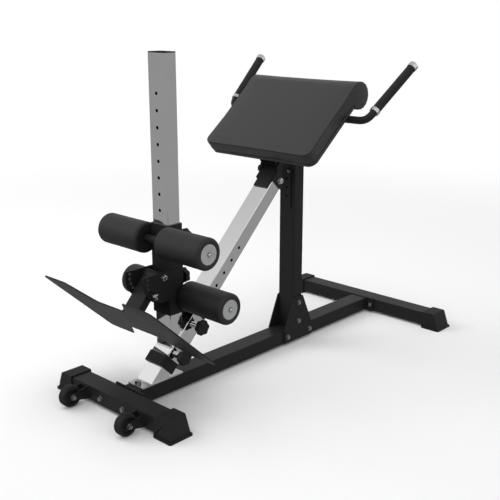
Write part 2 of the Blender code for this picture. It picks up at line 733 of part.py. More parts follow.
def hole_strip():
    """A strip up the upright's front, with open holes and wider above its shoulders."""
    wide = TUBE_WIDE / 2
    face = UPRIGHT_X - TUBE_DEEP / 2 - GAP
    top = frame_under_z(face - STRIP_THICK) - STRIP_TOP_UNDER
    outline = [(-STRIP_HALF, STRIP_BOTTOM), (STRIP_HALF, STRIP_BOTTOM), (STRIP_HALF, STRIP_SHOULDER),
               (wide, STRIP_SHOULDER + STRIP_FLARE), (wide, top), (-wide, top),
               (-wide, STRIP_SHOULDER + STRIP_FLARE), (-STRIP_HALF, STRIP_SHOULDER)]
    radii = [STRIP_CORNER] * 2 + [0] * 6
    made = add_part("hole_strip", plate_mesh("hole_strip", rounded(outline, radii), STRIP_THICK),
                    BLACK_PAINT)
    place(made, Vector((face - STRIP_THICK / 2, 0.0, 0.0)), -X_AXIS, Z_AXIS)
    drill(made, strip_holes(), X_AXIS, STRIP_HOLE_RADIUS, 3 * STRIP_THICK)
    bm = bmesh.new()
    add_rod(bm, STRIP_BOLT_RADIUS, -STRIP_THICK / 2, STRIP_BOLT_HEAD, 12)
    head = add_tool("strip_bolt_head", mesh_from(bm, "strip_bolt_head"))
    place(head, Vector((face - STRIP_THICK, STRIP_BOLT_Y, STRIP_SHOULDER)), -X_AXIS, Z_AXIS)
    combine(made, head, "UNION")


def gusset(name, side):
    """A gusset plate beside the upright's foot, bolted to it and to the rail."""
    front = UPRIGHT_X - TUBE_DEEP / 2
    rear = UPRIGHT_X + TUBE_DEEP / 2
    low = FLOOR_CLEAR + GUSSET_UNDER
    outline = [(front, RAIL_TOP + GUSSET_HIGH), (rear, RAIL_TOP + GUSSET_HIGH),
               (rear + GUSSET_FOOT_REAR, RAIL_TOP - GUSSET_TAIL), (rear + GUSSET_FOOT_REAR, low),
               (front - GUSSET_FOOT_FRONT, low), (front - GUSSET_FOOT_FRONT, RAIL_TOP)]
    y = side * (TUBE_WIDE / 2 + GAP + GUSSET_THICK / 2)
    made = side_plate(name, rounded(outline, GUSSET_EDGE, 2), GUSSET_THICK, y, BLACK_PAINT)
    spots = [spot + Y_AXIS * y for spot in gusset_rail_spots() + gusset_upright_spots()]
    drill(made, spots, Y_AXIS, BOLT_RADIUS + HOLE_FIT, 2 * GUSSET_THICK)
    return made


upright()
hole_strip()
GUSSET_OUT = TUBE_WIDE / 2 + GAP + GUSSET_THICK
for side_name, side in SIDES:
    gusset("gusset_" + side_name, side)
for spot_name, spot in zip(("front", "rear", "low", "high"),
                           gusset_rail_spots() + gusset_upright_spots()):
    bolt("gusset_bolt_" + spot_name, spot - Y_AXIS * GUSSET_OUT, -Y_AXIS, 2 * GUSSET_OUT)


# Sloping beam, its base plate and the bracket at its top
def beam_holes():
    """Centres of the slider's adjusting holes, on the beam's axis."""
    return [on_slope(BEAM_HOLE_FIRST + k * BEAM_HOLE_PITCH, 0.0) for k in range(BEAM_STEPS + 1)]


def sloping_beam():
    """The silver beam, cut level at its foot and upright at its top."""
    start = -TUBE_DEEP
    end = (BEAM_TOP_X - BEAM_FOOT_X) / cos(BEAM_ANGLE) + TUBE_DEEP
    made = tube("sloping_beam", end - start, SILVER_PAINT, on_slope(start, 0.0), SLOPE)
    trim(made, Vector((BEAM_FOOT_X, 0.0, RAIL_TOP + BASE_PLATE_THICK + 2 * GAP)), -Z_AXIS)
    trim(made, Vector((BEAM_TOP_X, 0.0, on_slope(end, 0.0).z)), X_AXIS)
    drill(made, beam_holes(), Y_AXIS, PIN_HOLE_RADIUS, TUBE_WIDE)
    drill(made, [on_slope(CROSS_BOLT_AT, 0.0)], Y_AXIS, CROSS_BOLT_RADIUS + HOLE_FIT, TUBE_WIDE)


def base_plate():
    """The plate that the sloping beam stands on, bolted to the rail."""
    length = BASE_PLATE_REAR - BASE_PLATE_FRONT
    made = add_part("beam_base_plate", box_mesh("beam_base_plate",
                                                (length, TUBE_WIDE, BASE_PLATE_THICK),
                                                edge=BASE_PLATE_EDGE),
                    SILVER_PAINT)
    middle = (BASE_PLATE_FRONT + BASE_PLATE_REAR) / 2
    place(made, Vector((middle, 0.0, RAIL_TOP + GAP + BASE_PLATE_THICK / 2)))
    drill(made, base_bolt_spots(), Z_AXIS, BOLT_RADIUS + HOLE_FIT, 2 * BASE_PLATE_THICK)
    bolt("base_plate_bolt", base_bolt_spots()[0], Z_AXIS, BASE_PLATE_THICK + 4 * TUBE_WALL,
         corner=BASE_BOLT_CORNER, head=BASE_BOLT_HEAD, nut=False)


def top_bracket():
    """Two cheeks and a front plate that join the beam's top to the pad frame."""
    half = TUBE_DEEP / 2 + CHEEK_THICK
    low = on_slope(BRACKET_START, -half)
    front = on_slope(BRACKET_START, half)
    rise = front.z - front.x
    notch_x = BEAM_TOP_X + BRACKET_CLEAR
    under = frame_under_z
    tail_low = under(BRACKET_TAIL_X) - GAP - BRACKET_TAIL_DEEP
    outline = [(low.x, low.z), (front.x, front.z), (BRACKET_NOSE_X, BRACKET_NOSE_X + rise),
               (BRACKET_NOSE_X, under(BRACKET_NOSE_X) - GAP),
               (BRACKET_TAIL_X, under(BRACKET_TAIL_X) - GAP), (BRACKET_TAIL_X, tail_low),
               (notch_x, under(notch_x) - GAP - 2 * BRACKET_TAIL_DEEP),
               (notch_x, low.z + notch_x - low.x)]
    inner = TUBE_WIDE / 2 + GAP
    thick = 2 * (inner + CHEEK_THICK)
    made = side_plate("top_bracket", outline, thick, 0.0, BLACK_PAINT)
    slot = add_tool("bracket_slot", box_mesh("bracket_slot", (CUTTER, 2 * inner, CUTTER)))
    place(slot, on_slope(BRACKET_START, 0.0))
    combine(made, slot, "DIFFERENCE")
    length = BRACKET_LIP_END - BRACKET_LIP_START
    lip_y = 2 * (inner + CHEEK_THICK / 2)
    face = TUBE_DEEP / 2 + GAP
    web_size = (CHEEK_THICK * BRACKET_SQUEEZE, lip_y, BRACKET_WEB)
    web = add_tool("bracket_web", box_mesh("bracket_web", web_size, (0.0, 0.0, BRACKET_WEB / 2)))
    place(web, on_slope(BRACKET_START + WELD, face + CHEEK_THICK / 2), SLOPE)
    combine(made, web, "UNION")
    lip_size = (CHEEK_THICK, 2 * BRACKET_LIP_HALF, length)
    lip = add_tool("bracket_lip", box_mesh("bracket_lip", lip_size, (0.0, 0.0, length / 2)))
    place(lip, on_slope(BRACKET_LIP_START, face + CHEEK_THICK / 2), SLOPE)
    combine(made, lip, "UNION")
    drill(made, [on_slope(CROSS_BOLT_AT, 0.0)], Y_AXIS, CROSS_BOLT_RADIUS + HOLE_FIT, TUBE_WIDE)
    nut_spot = Vector((SIDE_NUT_X, inner + CHEEK_THICK, SIDE_NUT_Z))
    profile = [(0.0, SIDE_NUT_LONG), (SIDE_NUT_RADIUS * 0.7, SIDE_NUT_LONG),
               (SIDE_NUT_RADIUS, SIDE_NUT_LONG * 0.75), (SIDE_NUT_RADIUS, -WELD), (0.0, -WELD)]
    stud = turned("bracket_side_stud", profile, 20, BLACK_PAINT, nut_spot, Y_AXIS)
    combine(made, as_tool(stud), "UNION")
    bolt("bracket_cross_bolt", on_slope(CROSS_BOLT_AT, 0.0, -inner - CHEEK_THICK), -Y_AXIS,
         2 * (inner + CHEEK_THICK), CROSS_BOLT_RADIUS, CROSS_BOLT_CORNER, CROSS_BOLT_HEAD)


sloping_beam()
base_plate()
top_bracket()


# Pad, its frame and the handles
def pad_frame():
    """The tube under the pad with a plate on it for the board, and the handle tube through it."""
    made = tube("pad_frame", PAD_FRAME_END - PAD_FRAME_START, BLACK_PAINT,
                on_pad(PAD_FRAME_START, PAD_FRAME_TOP - PAD_FRAME_DEEP / 2), PAD_ALONG,
                size=(PAD_FRAME_DEEP, TUBE_WIDE))
    length = PAD_PLATE_END - PAD_PLATE_START
    size = (length, 2 * PAD_PLATE_HALF, PAD_PLATE_THICK)
    plate = add_tool("pad_plate", box_mesh("pad_plate", size, edge=PAD_PLATE_EDGE))
    middle = (PAD_PLATE_START + PAD_PLATE_END) / 2
    place(plate, on_pad(middle, PAD_PLATE_UNDER + PAD_PLATE_THICK / 2), PAD_UP)
    combine(made, plate, "UNION")
    drill(made, [on_pad(HANDLE_U, HANDLE_H)], Y_AXIS, HANDLE_RADIUS + HOLE_FIT, TUBE_WIDE, 24)


def pad_board():
    """The plywood board that the cushion is upholstered on."""
    start = PAD_START + BOARD_IN
    half = PAD_HALF - BOARD_IN
    outline = rounded([(start, -half), (BOARD_END, -half), (BOARD_END, half), (start, half)],
                      [PAD_CORNER, BOARD_CORNER, BOARD_CORNER, PAD_CORNER])
    made = add_part("pad_board", plate_mesh("pad_board", outline, BOARD_THICK - GAP), PLYWOOD)
    place(made, on_pad(0.0, PAD_UNDER + (BOARD_THICK - GAP) / 2), PAD_UP)


def pad_profile():
    """The cushion's side outline as (along, square to, bottom) points, down its outer side."""
    bottom_at = asin((BOARD_TOP - ROLL_H) / ROLL_RADIUS)
    points = []
    for k in range(5):
        turn = pi - pi / 2 * k / 4
        points.append((PAD_START + PAD_NOSE * (1 + cos(turn)), PAD_OVER - PAD_NOSE * (1 - sin(turn)), 0))
    for k in range(1, 8):
        share = k / 8
        u = PAD_START + PAD_NOSE + share * (ROLL_U - PAD_START - PAD_NOSE)
        rise = (ROLL_H + ROLL_RADIUS - PAD_OVER) * share ** 3
        points.append((u, PAD_OVER + rise, 0))
    for k in range(15):
        turn = pi / 2 - (3 * pi / 2 + bottom_at) * k / 14
        points.append((ROLL_U + ROLL_RADIUS * cos(turn), ROLL_H + ROLL_RADIUS * sin(turn), 0))
    edge_u = ROLL_U - ROLL_RADIUS * cos(bottom_at)
    for k in range(1, 8):
        share = k / 7
        points.append((edge_u + share * (PAD_START + PAD_TUCK - edge_u), BOARD_TOP, 1))
    points.append((PAD_START, BOARD_TOP + PAD_TUCK, 1))
    return points


def pad_section(profile, y):
    """The cushion's outline at one place across it: crowned, drawn in and rounded to its sides."""
    side_in = max(0.0, abs(y) - (PAD_HALF - PAD_EDGE))
    inset = PAD_EDGE - (PAD_EDGE ** 2 - min(side_in, PAD_EDGE) ** 2) ** 0.5
    corner_in = max(0.0, abs(y) - (PAD_HALF - PAD_CORNER))
    corner = PAD_CORNER - (PAD_CORNER ** 2 - min(corner_in, PAD_CORNER) ** 2) ** 0.5
    across = 1.0 - (y / PAD_HALF) ** 2
    section = []
    count = len(profile)
    for i, (u, h, bottom) in enumerate(profile):
        before = Vector(profile[i - 1][:2])
        after = Vector(profile[(i + 1) % count][:2])
        along = (after - before).normalized()
        outward = Vector((-along.y, along.x))
        depth = inset * (PAD_UNDER_DRAW if bottom else 1.0)
        here = Vector((u, h)) - outward * depth
        near = (PAD_ROUND_NONE - here.x) / (PAD_ROUND_NONE - PAD_ROUND_FULL)
        near = max(0.0, min(1.0, near))
        here.x += near * (corner + PAD_DRAW * across)
        if not bottom and here.x < ROLL_U:
            share = max(0.0, (here.x - PAD_START) / (ROLL_U - PAD_START))
            here.y += PAD_CROWN * across * sin(pi * share) * max(0.0, outward.y)
        section.append(here)
    return section


def hip_pad():
    """The cushion: a flat pad with a rolled upper end, its sections lofted across."""
    profile = pad_profile()
    flat = PAD_HALF - PAD_CORNER
    inner = [flat * k / 4 for k in range(5)]
    outer = [PAD_HALF - PAD_CORNER * (1 - share) for share in (0.30, 0.56)]
    edge = [PAD_HALF - PAD_EDGE * (1 - sin(pi / 2 * share)) for share in (0.34, 0.67, 1.0)]
    half = inner + outer + edge
    stations = [-y for y in reversed(half[1:])] + half
    bm = bmesh.new()
    rings = []
    for y in stations:
        section = pad_section(profile, y)
        ring = []
        for here in section:
            share = max(0.0, min(1.0, (here.x - PAD_START) / (ROLL_U - PAD_START)))
            pulled = y * (1.0 - PAD_DRAW / PAD_HALF * sin(pi * share))
            ring.append(bm.verts.new((here.x, pulled, here.y)))
        rings.append(ring)
    count = len(profile)
    for a, b in zip(rings, rings[1:]):
        for i in range(count):
            j = (i + 1) % count
            bm.faces.new((a[i], a[j], b[j], b[i]))
    bm.faces.new(rings[0])
    bm.faces.new(list(reversed(rings[-1])))
    made = add_part("hip_pad", mesh_from(bm, "hip_pad", smooth=True), VINYL)
    made.location = on_pad(0.0, GAP)
    made.rotation_euler = Matrix((PAD_ALONG, Y_AXIS, PAD_UP)).transposed().to_euler()


def handle_way(side):
    """Direction of a handle's grip, and its two collars' centres."""
    low = Vector((HANDLE_LOW.x, side * HANDLE_LOW.y, HANDLE_LOW.z))
    high = Vector((HANDLE_HIGH.x, side * HANDLE_HIGH.y, HANDLE_HIGH.z))
    return (high - low).normalized(), low, high


def handle_bar():
    """One bent tube: across under the pad, then up and back to a grip on each side."""
    curve = bpy.data.curves.new("handle_path", "CURVE")
    curve.dimensions = "3D"
    curve.bevel_depth = HANDLE_RADIUS
    curve.bevel_resolution = 3
    curve.use_fill_caps = True
    curve.resolution_u = 4
    spline = curve.splines.new("BEZIER")
    knots = []
    for side in (-1.0, 1.0):
        way, low, high = handle_way(side)
        middle = on_pad(HANDLE_U, HANDLE_H, side * HANDLE_BEND_Y)
        soft = (low - middle).length * HANDLE_SOFT
        end = high + way * HANDLE_END
        start = low - way * COLLAR_LONG
        across = [(middle, Y_AXIS * side, soft)]
        rise = [(start, way, soft), (end, way, HANDLE_END)]
        knots += (list(reversed(across + rise)) if side < 0 else across + rise)
    spline.bezier_points.add(len(knots) - 1)
    for k, (point, (at, way, soft)) in enumerate(zip(spline.bezier_points, knots)):
        forward = way if k >= len(knots) // 2 else -way
        point.handle_left_type = "FREE"
        point.handle_right_type = "FREE"
        before = soft if k in (2, 4) else HANDLE_END
        after = soft if k in (1, 3) else HANDLE_END
        point.co = at
        point.handle_left = at - forward * before
        point.handle_right = at + forward * after
    made = add_part("handle_bar", curve_mesh("handle_bar", curve, smooth=True), BLACK_PAINT)
    half = COLLAR_LONG / 2
    inner = COLLAR_RADIUS - COLLAR_EDGE
    profile = [(0.0, half), (inner, half), (COLLAR_RADIUS, half - COLLAR_EDGE),
               (COLLAR_RADIUS, COLLAR_EDGE - half), (inner, -half), (0.0, -half)]
    for _, side in SIDES:
        way, low, high = handle_way(side)
        for at in (low, high):
            combine(made, as_tool(turned("grip_collar", profile, 14, ZINC, at, way)), "UNION")


def handle_grip(name, side):
    """A rubber grip between a handle's two bright collars."""
    bore = HANDLE_RADIUS + HOLE_FIT
    way, low, high = handle_way(side)
    start = COLLAR_LONG / 2 + GAP
    length = (high - low).length - 2 * start
    inner = GRIP_RADIUS - GRIP_EDGE / 2
    profile = [(bore, length), (inner, length), (GRIP_RADIUS, length - GRIP_EDGE),
               (GRIP_RADIUS, GRIP_EDGE), (inner, 0.0), (bore, 0.0)]
    turned(name, profile, 16, RUBBER, low + way * start, way, None, True)


pad_frame()
pad_board()
hip_pad()
handle_bar()
for side_name, side in SIDES:
    handle_grip("handle_grip_" + side_name, side)


# Knobs, pop pins and lock screws
def knob_mesh(name):
    """A lobed knob on a round hub, with rounded rims, from its hub's foot up."""
    outline = []
    points = KNOB_LOBES * KNOB_POINTS
    for k in range(points):
        turn = 2 * pi * k / points
        radius = KNOB_RADIUS - KNOB_LOBE * (1 - cos(KNOB_LOBES * turn)) / 2
        outline.append((radius * cos(turn), radius * sin(turn)))
    return plate_mesh(name, outline, KNOB_THICK)


def knob(name, at, outward, parent, out=0.0):
    """A lobed knob on a round hub, standing off the sleeve's face and a further distance out."""
    made = add_part(name, knob_mesh(name), NYLON)
    disc = at + outward * (out + KNOB_START + KNOB_HUB + KNOB_THICK / 2)
    place(made, disc, outward, side_on(outward), parent)
    rims = made.modifiers.new("rims", "BEVEL")
    rims.width = KNOB_RIM
    rims.segments = 1
    rims.limit_method = "ANGLE"
    rims.angle_limit = radians(50)
    bm = bmesh.new()
    add_rod(bm, HUB_RADIUS, -KNOB_THICK / 2 - KNOB_HUB, 0.0, 16)
    hub = add_tool(name + "_hub", mesh_from(bm, name + "_hub"))
    place(hub, disc, outward, side_on(outward), parent)
    combine(made, hub, "UNION")
    return made


def side_on(outward):
    """A direction square to a knob's axis."""
    return Z_AXIS if abs(outward.z) < 0.5 else Y_AXIS


def rod(name, reach, at, outward, parent, out=0.0):
    """A steel rod from its tip, reach inside the sleeve's face, into its knob."""
    top = out + KNOB_START + KNOB_HUB + KNOB_THICK * ROD_DEPTH - GAP
    profile = [(0.0, top), (PIN_RADIUS, top), (PIN_RADIUS, PIN_TIP - reach),
               (PIN_RADIUS - PIN_TIP, -reach), (0.0, -reach)]
    return turned(name, profile, 12, ZINC, at, outward, parent)


def pop_pin(name, at, outward, carrier, reach, out=0.0):
    """A sprung pin moulded into its knob; its barrel is returned, to be welded to the sleeve."""
    anchor = pivot(name + "_slide", at, carrier)
    made = knob(name, at, outward, anchor, out)
    combine(made, as_tool(rod(name + "_rod", reach, at, outward, anchor, out)), "UNION")
    profile = [(0.0, BARREL_LONG), (BARREL_RADIUS - BARREL_EDGE, BARREL_LONG),
               (BARREL_RADIUS, BARREL_LONG - BARREL_EDGE), (BARREL_RADIUS, -WELD), (0.0, -WELD)]
    return as_tool(turned(name + "_barrel", profile, 16, ZINC, at, outward, carrier))


def lock_screw(name, at, outward, carrier, reach):
    """A clamping screw and its knob; its nut is returned, to be welded to the sleeve."""
    anchor = pivot(name + "_axis", at, carrier)
    rod(name + "_screw", reach, at, outward, anchor)
    handle = knob(name + "_knob", at, outward, anchor)
    bm = bmesh.new()
    start = KNOB_START - KNOB_HUB
    add_rod(bm, PIN_RADIUS + GAP, start, KNOB_START + KNOB_HUB + KNOB_THICK * ROD_DEPTH, 16)
    bore = add_tool(name + "_knob_bore", mesh_from(bm, name + "_knob_bore"))
    place(bore, at, outward, side_on(outward), anchor)
    combine(handle, bore, "DIFFERENCE")
    bm = bmesh.new()
    add_rod(bm, NUT_CORNER, -WELD, NUT_LONG, 6)
    nut = add_tool(name + "_nut", mesh_from(bm, name + "_nut"))
    return place(nut, at, outward, side_on(outward), carrier)


def sleeve_ring(name, at, along, length, lip, carrier):
    """A nylon bushing at a sleeve's end, thicker at its front by a lip, clear of the tube."""
    size = (2 * SLEEVE_HALF_DEEP + lip, 2 * SLEEVE_HALF_WIDE, length)
    made = add_part(name, box_mesh(name, size, (-lip / 2, 0.0, length / 2), 0.004), NYLON)
    place(made, at, along, Y_AXIS, carrier)
    inside = (TUBE_DEEP + 2 * BUSHING_FIT, TUBE_WIDE + 2 * BUSHING_FIT, 3 * length)
    bore = add_tool(name + "_bore", box_mesh(name + "_bore", inside))
    place(bore, at, along, Y_AXIS, carrier)
    combine(made, bore, "DIFFERENCE")
    return made


def sleeve_fittings(made, carrier, outward, barrel, nut):
    """Welds a pop pin's barrel and a lock screw's nut to a sleeve, and drills through both."""
    for fitting, long in ((barrel, BARREL_LONG), (nut, NUT_LONG)):
        combine(made, fitting, "UNION")
        spot = fitting.location + carrier.matrix_world.translation
        drill(made, [spot], outward, PIN_RADIUS + HOLE_FIT, long + SLEEVE_WALL, parent=carrier)


# Slider and roller column
SLIDER = pivot("slider_slide", on_slope(SLIDER_START, 0.0))
SLEEVE_SIZE = (2 * SLEEVE_HALF_DEEP, 2 * SLEEVE_HALF_WIDE)


def slider():
    """The sleeve on the sloping beam, with a bushing at each end, a pop pin and a lock screw."""
    low = SLIDER_START + RING_LONG + GAP
    made = tube("slider_sleeve", SLIDER_SLEEVE - GAP, SILVER_PAINT, on_slope(low, 0.0), SLOPE,
                size=SLEEVE_SIZE, wall=SLEEVE_WALL, parent=SLIDER)
    side = -SLEEVE_HALF_WIDE
    reach = SLEEVE_WALL + SLEEVE_FIT
    sleeve_fittings(made, SLIDER, -Y_AXIS,
                    pop_pin("slider_pin", on_slope(BEAM_HOLE_FIRST, 0.0, side), -Y_AXIS, SLIDER,
                            reach + TUBE_WALL + PIN_BITE),
                    lock_screw("slider_lock", on_slope(SLIDER_LOCK_AT, 0.0, side), -Y_AXIS, SLIDER,
                               reach - GAP))
    sleeve_ring("slider_ring_low", on_slope(SLIDER_START, 0.0), SLOPE, RING_LONG, RING_LIP, SLIDER)
    sleeve_ring("slider_ring_high", on_slope(low + SLIDER_SLEEVE, 0.0), SLOPE, RING_LONG, RING_LIP,
                SLIDER)


def roller_column():
    """The upright tube on the slider, with its adjusting holes and a cap in its top."""
    made = tube("roller_column", COLUMN_TOP - RAIL_TOP, SILVER_PAINT,
                Vector((COLUMN_X, 0.0, RAIL_TOP)), Z_AXIS, parent=SLIDER)
    trim(made, on_slope(COLUMN_CUT_AT, SLEEVE_HALF_DEEP + GAP), -SLOPE_UP, SLIDER)
    spots = [Vector((COLUMN_X, 0.0, COLUMN_HOLE_TOP - k * COLUMN_HOLE_PITCH))
             for k in range(COLUMN_STEPS + 1)]
    drill(made, spots, X_AXIS, PIN_HOLE_RADIUS, TUBE_DEEP, parent=SLIDER)
    inside = (TUBE_DEEP - 2 * TUBE_WALL - 2 * GAP, TUBE_WIDE - 2 * TUBE_WALL - 2 * GAP)
    bm = bmesh.new()
    add_box(bm, (TUBE_DEEP, TUBE_WIDE, COLUMN_CAP_THICK), (0, 0, COLUMN_CAP_THICK / 2), TUBE_EDGE)
    cap = add_part("column_cap", mesh_from(bm, "column_cap"), NYLON)
    place(cap, Vector((COLUMN_X, 0.0, COLUMN_TOP + GAP)), parent=SLIDER)
    plug = add_tool("column_cap_plug", box_mesh("column_cap_plug", (*inside, COLUMN_CAP_PLUG)))
    place(plug, Vector((COLUMN_X, 0.0, COLUMN_TOP + GAP + WELD - COLUMN_CAP_PLUG / 2)), parent=SLIDER)
    combine(cap, plug, "UNION")


slider()
roller_column()

# Carriage on the column, with its axles and rollers
CARRIAGE = pivot("carriage_slide", Vector((COLUMN_X, 0.0, CARRIAGE_LOW)), SLIDER)


def carriage():
    """The sleeve on the column, with a bushing at each end, a pop pin and a lock screw."""
    low = CARRIAGE_LOW + CARRIAGE_BUSHING - WELD
    length = CARRIAGE_HIGH - CARRIAGE_LOW - 2 * (CARRIAGE_BUSHING - WELD)
    made = tube("carriage_sleeve", length, BLACK_PAINT, Vector((COLUMN_X, 0.0, low)), Z_AXIS,
                size=SLEEVE_SIZE, wall=SLEEVE_WALL, parent=CARRIAGE)
    face = COLUMN_X + SLEEVE_HALF_DEEP
    for z in (CARRIAGE_LOW, CARRIAGE_HIGH - CARRIAGE_BUSHING):
        combine(made, end_band(Vector((COLUMN_X, 0.0, z))), "UNION")
    for side_name, side in SIDES:
        combine(made, sector_plate("sector_plate_" + side_name, side), "UNION")
    reach = SLEEVE_WALL + SLEEVE_FIT - GAP
    sleeve_fittings(made, CARRIAGE, X_AXIS,
                    pop_pin("carriage_pin", Vector((face, 0.0, CARRIAGE_PIN_Z)), X_AXIS, CARRIAGE,
                            reach, RIDING_OUT),
                    lock_screw("carriage_lock", Vector((face, 0.0, CARRIAGE_LOCK_Z)), X_AXIS,
                               CARRIAGE, reach))


def end_band(at):
    """A close-fitting band at the carriage's end, which runs on the column."""
    size = (2 * SLEEVE_HALF_DEEP, 2 * SLEEVE_HALF_WIDE, CARRIAGE_BUSHING)
    mesh = box_mesh("end_band", size, (0, 0, CARRIAGE_BUSHING / 2), TUBE_EDGE)
    band = add_part("end_band", mesh, BLACK_PAINT)
    place(band, at, parent=CARRIAGE)
    inside = (TUBE_DEEP + 2 * BUSHING_FIT, TUBE_WIDE + 2 * BUSHING_FIT, 3 * CARRIAGE_BUSHING)
    bore = add_tool("end_band_bore", box_mesh("end_band_bore", inside))
    place(bore, at, parent=CARRIAGE)
    combine(band, bore, "DIFFERENCE")
    return as_tool(band)


def axle(name, x, z):
    """A bar across the carriage, welded to its face, with a washer and a bolt head at each end."""
    half = ROLLER_OUTER + GAP
    face = half + WASHER_THICK
    end = [(0.0, face + AXLE_HEAD_LONG), (AXLE_HEAD_FACE, face + AXLE_HEAD_LONG),
           (AXLE_HEAD_RADIUS, face + AXLE_HEAD_SIDE), (AXLE_HEAD_RADIUS, face),
           (WASHER_RADIUS, face), (WASHER_RADIUS, half), (AXLE_RADIUS, half)]
    profile = end + [(r, -y) for r, y in reversed(end)]
    turned(name, profile, 16, BLACK_PAINT, Vector((x, 0.0, z)), Y_AXIS, CARRIAGE)


def roller(name, x, z, side):
    """A foam roller on a plastic core with a disc at its outer end, free to spin on its axle."""
    anchor = pivot(name + "_axis", Vector((x, 0.0, z)), CARRIAGE)
    at = Vector((x, 0.0, z))
    bore = AXLE_RADIUS + HOLE_FIT
    inner = ROLLER_INNER
    outer = ROLLER_OUTER
    core = [(bore, outer), (DISC_RADIUS - DISC_EDGE, outer), (DISC_RADIUS, outer - DISC_EDGE),
            (DISC_RADIUS, outer - DISC_THICK), (CORE_RADIUS, outer - DISC_THICK),
            (CORE_RADIUS, inner), (bore, inner)]
    turned(name + "_core", core, 18, GREY_PLASTIC, at, Y_AXIS * side, anchor, True)
    hole = CORE_RADIUS + HOLE_FIT
    lap = DISC_RADIUS + HOLE_FIT
    outer_rim = [(ROLLER_RADIUS - ROLLER_ROUND * (1 - sin(a)), outer - ROLLER_ROUND * (1 - cos(a)))
                 for a in (pi / 2 * k / 3 for k in range(4))]
    inner_rim = [(r, inner + outer - y) for r, y in reversed(outer_rim)]
    foam = ([(hole, outer - DISC_THICK - GAP), (lap, outer - DISC_THICK - GAP), (lap, outer - HOLE_FIT)]
            + outer_rim + inner_rim + [(hole, inner)])
    turned(name + "_foam", foam, 24, FOAM, at, Y_AXIS * side, anchor, True)


for level, axle_x, axle_z in (("upper", UPPER_AXLE_X, UPPER_AXLE_Z),
                              ("lower", LOWER_AXLE_X, LOWER_AXLE_Z)):
    axle(level + "_axle", axle_x, axle_z)
    for side_name, side in SIDES:
        roller(level + "_roller_" + side_name, axle_x, axle_z, side)


# Foot plate on its arm, between the sector plates
ARM = pivot("foot_arm_axis", Vector((PIVOT_X, 0.0, PIVOT_Z)), CARRIAGE)
ARM_WAY = Vector((cos(ARM_ANGLE), 0.0, sin(ARM_ANGLE)))
PIVOT_AT = Vector((PIVOT_X, 0.0, PIVOT_Z))
PIN_AT = PIVOT_AT + ARM_WAY * ARM_HOLE_REACH


def sector_plate(name, side):
    """A plate on the carriage's side, with an arc of holes about the arm's pivot."""
    right = COLUMN_X - SLEEVE_HALF_DEEP + SECTOR_OVERLAP
    top = PIVOT_Z + SECTOR_TOP
    first = pi - asin(SECTOR_TOP / SECTOR_RADIUS)
    last = ARM_ANGLE + SECTOR_PAST
    arc = [(PIVOT_X + SECTOR_RADIUS * cos(a), PIVOT_Z + SECTOR_RADIUS * sin(a))
           for a in (first + (last - first) * k / 9 for k in range(10))]
    low = PIVOT_Z + SECTOR_RADIUS * sin(last) - SECTOR_DROP
    outline = [(right, top)] + arc + [(PIVOT_X - SECTOR_TOE, low), (right, low)]
    y = side * (SECTOR_INNER + SECTOR_THICK / 2)
    made = as_tool(side_plate(name, outline, SECTOR_THICK, y, BLACK_PAINT, CARRIAGE))
    spots = [PIVOT_AT + Y_AXIS * y + ARM_HOLE_REACH * Vector((cos(a), 0.0, sin(a)))
             for a in (ARM_ANGLE - ARM_STEP * k for k in range(ARM_STEPS + 1))]
    drill(made, spots, Y_AXIS, PIN_RADIUS + HOLE_FIT, 2 * SECTOR_THICK, parent=CARRIAGE)
    drill(made, [PIVOT_AT + Y_AXIS * y], Y_AXIS, PIVOT_BOLT_RADIUS + HOLE_FIT,
          2 * SECTOR_THICK, parent=CARRIAGE)
    return made


def foot_arm():
    """The short tube from the pivot to the foot plate: round at the pivot, and notched from below
    over the detent pin, which it rests on and can be lifted off."""
    length = FOOT_REACH - FOOT_THICK / 2 - GAP
    made = tube("foot_arm", length, BLACK_PAINT, PIVOT_AT, ARM_WAY, size=(ARM_DEEP, ARM_WIDE),
                edge=ARM_EDGE, parent=ARM)
    bm = bmesh.new()
    boss = ARM_DEEP / 2
    turn = axes(Y_AXIS, Z_AXIS).to_4x4()
    add_rod(bm, boss, -SECTOR_INNER + GAP, SECTOR_INNER - GAP, 24, turn)
    combine(made, place(add_tool("arm_boss", mesh_from(bm, "arm_boss")), PIVOT_AT, parent=ARM), "UNION")
    drill(made, [PIVOT_AT], Y_AXIS, PIVOT_BOLT_RADIUS + HOLE_FIT, SECTOR_INNER, parent=ARM)
    drill(made, [PIN_AT], Y_AXIS, PIN_RADIUS + HOLE_FIT, SECTOR_INNER, parent=ARM)
    leaves = boss + PIN_RADIUS
    drift = ARM_HOLE_REACH - (ARM_HOLE_REACH ** 2 - leaves ** 2) ** 0.5
    size = (leaves, 2 * SECTOR_INNER, 2 * (PIN_RADIUS + HOLE_FIT) + drift)
    notch = add_tool("arm_notch", box_mesh("arm_notch", size, (-leaves / 2, 0.0, -drift / 2)))
    combine(made, place(notch, PIN_AT, ARM_WAY, Y_AXIS, ARM), "DIFFERENCE")


def foot_plate():
    """The large plate behind the heels: two lobes with a deep notch above and below the arm."""
    tall = FOOT_TALL
    low = tall - NOTCH_DEEP
    half = [(low, -NOTCH_FLOOR), (tall, -NOTCH_MOUTH), (tall, -FOOT_HALF)]
    points = half + [(-u, y) for u, y in reversed(half)]
    points = points + [(-u, -y) for u, y in points]
    lobe = [NOTCH_CORNER, MOUTH_CORNER, FOOT_CORNER]
    radii = (lobe + list(reversed(lobe))) * 2
    mesh = plate_mesh("foot_plate", rounded(points, radii), FOOT_THICK)
    made = add_part("foot_plate", mesh, BLACK_PAINT)
    middle = PIVOT_AT + ARM_WAY * FOOT_REACH
    place(made, middle, -ARM_WAY, Y_AXIS, ARM)


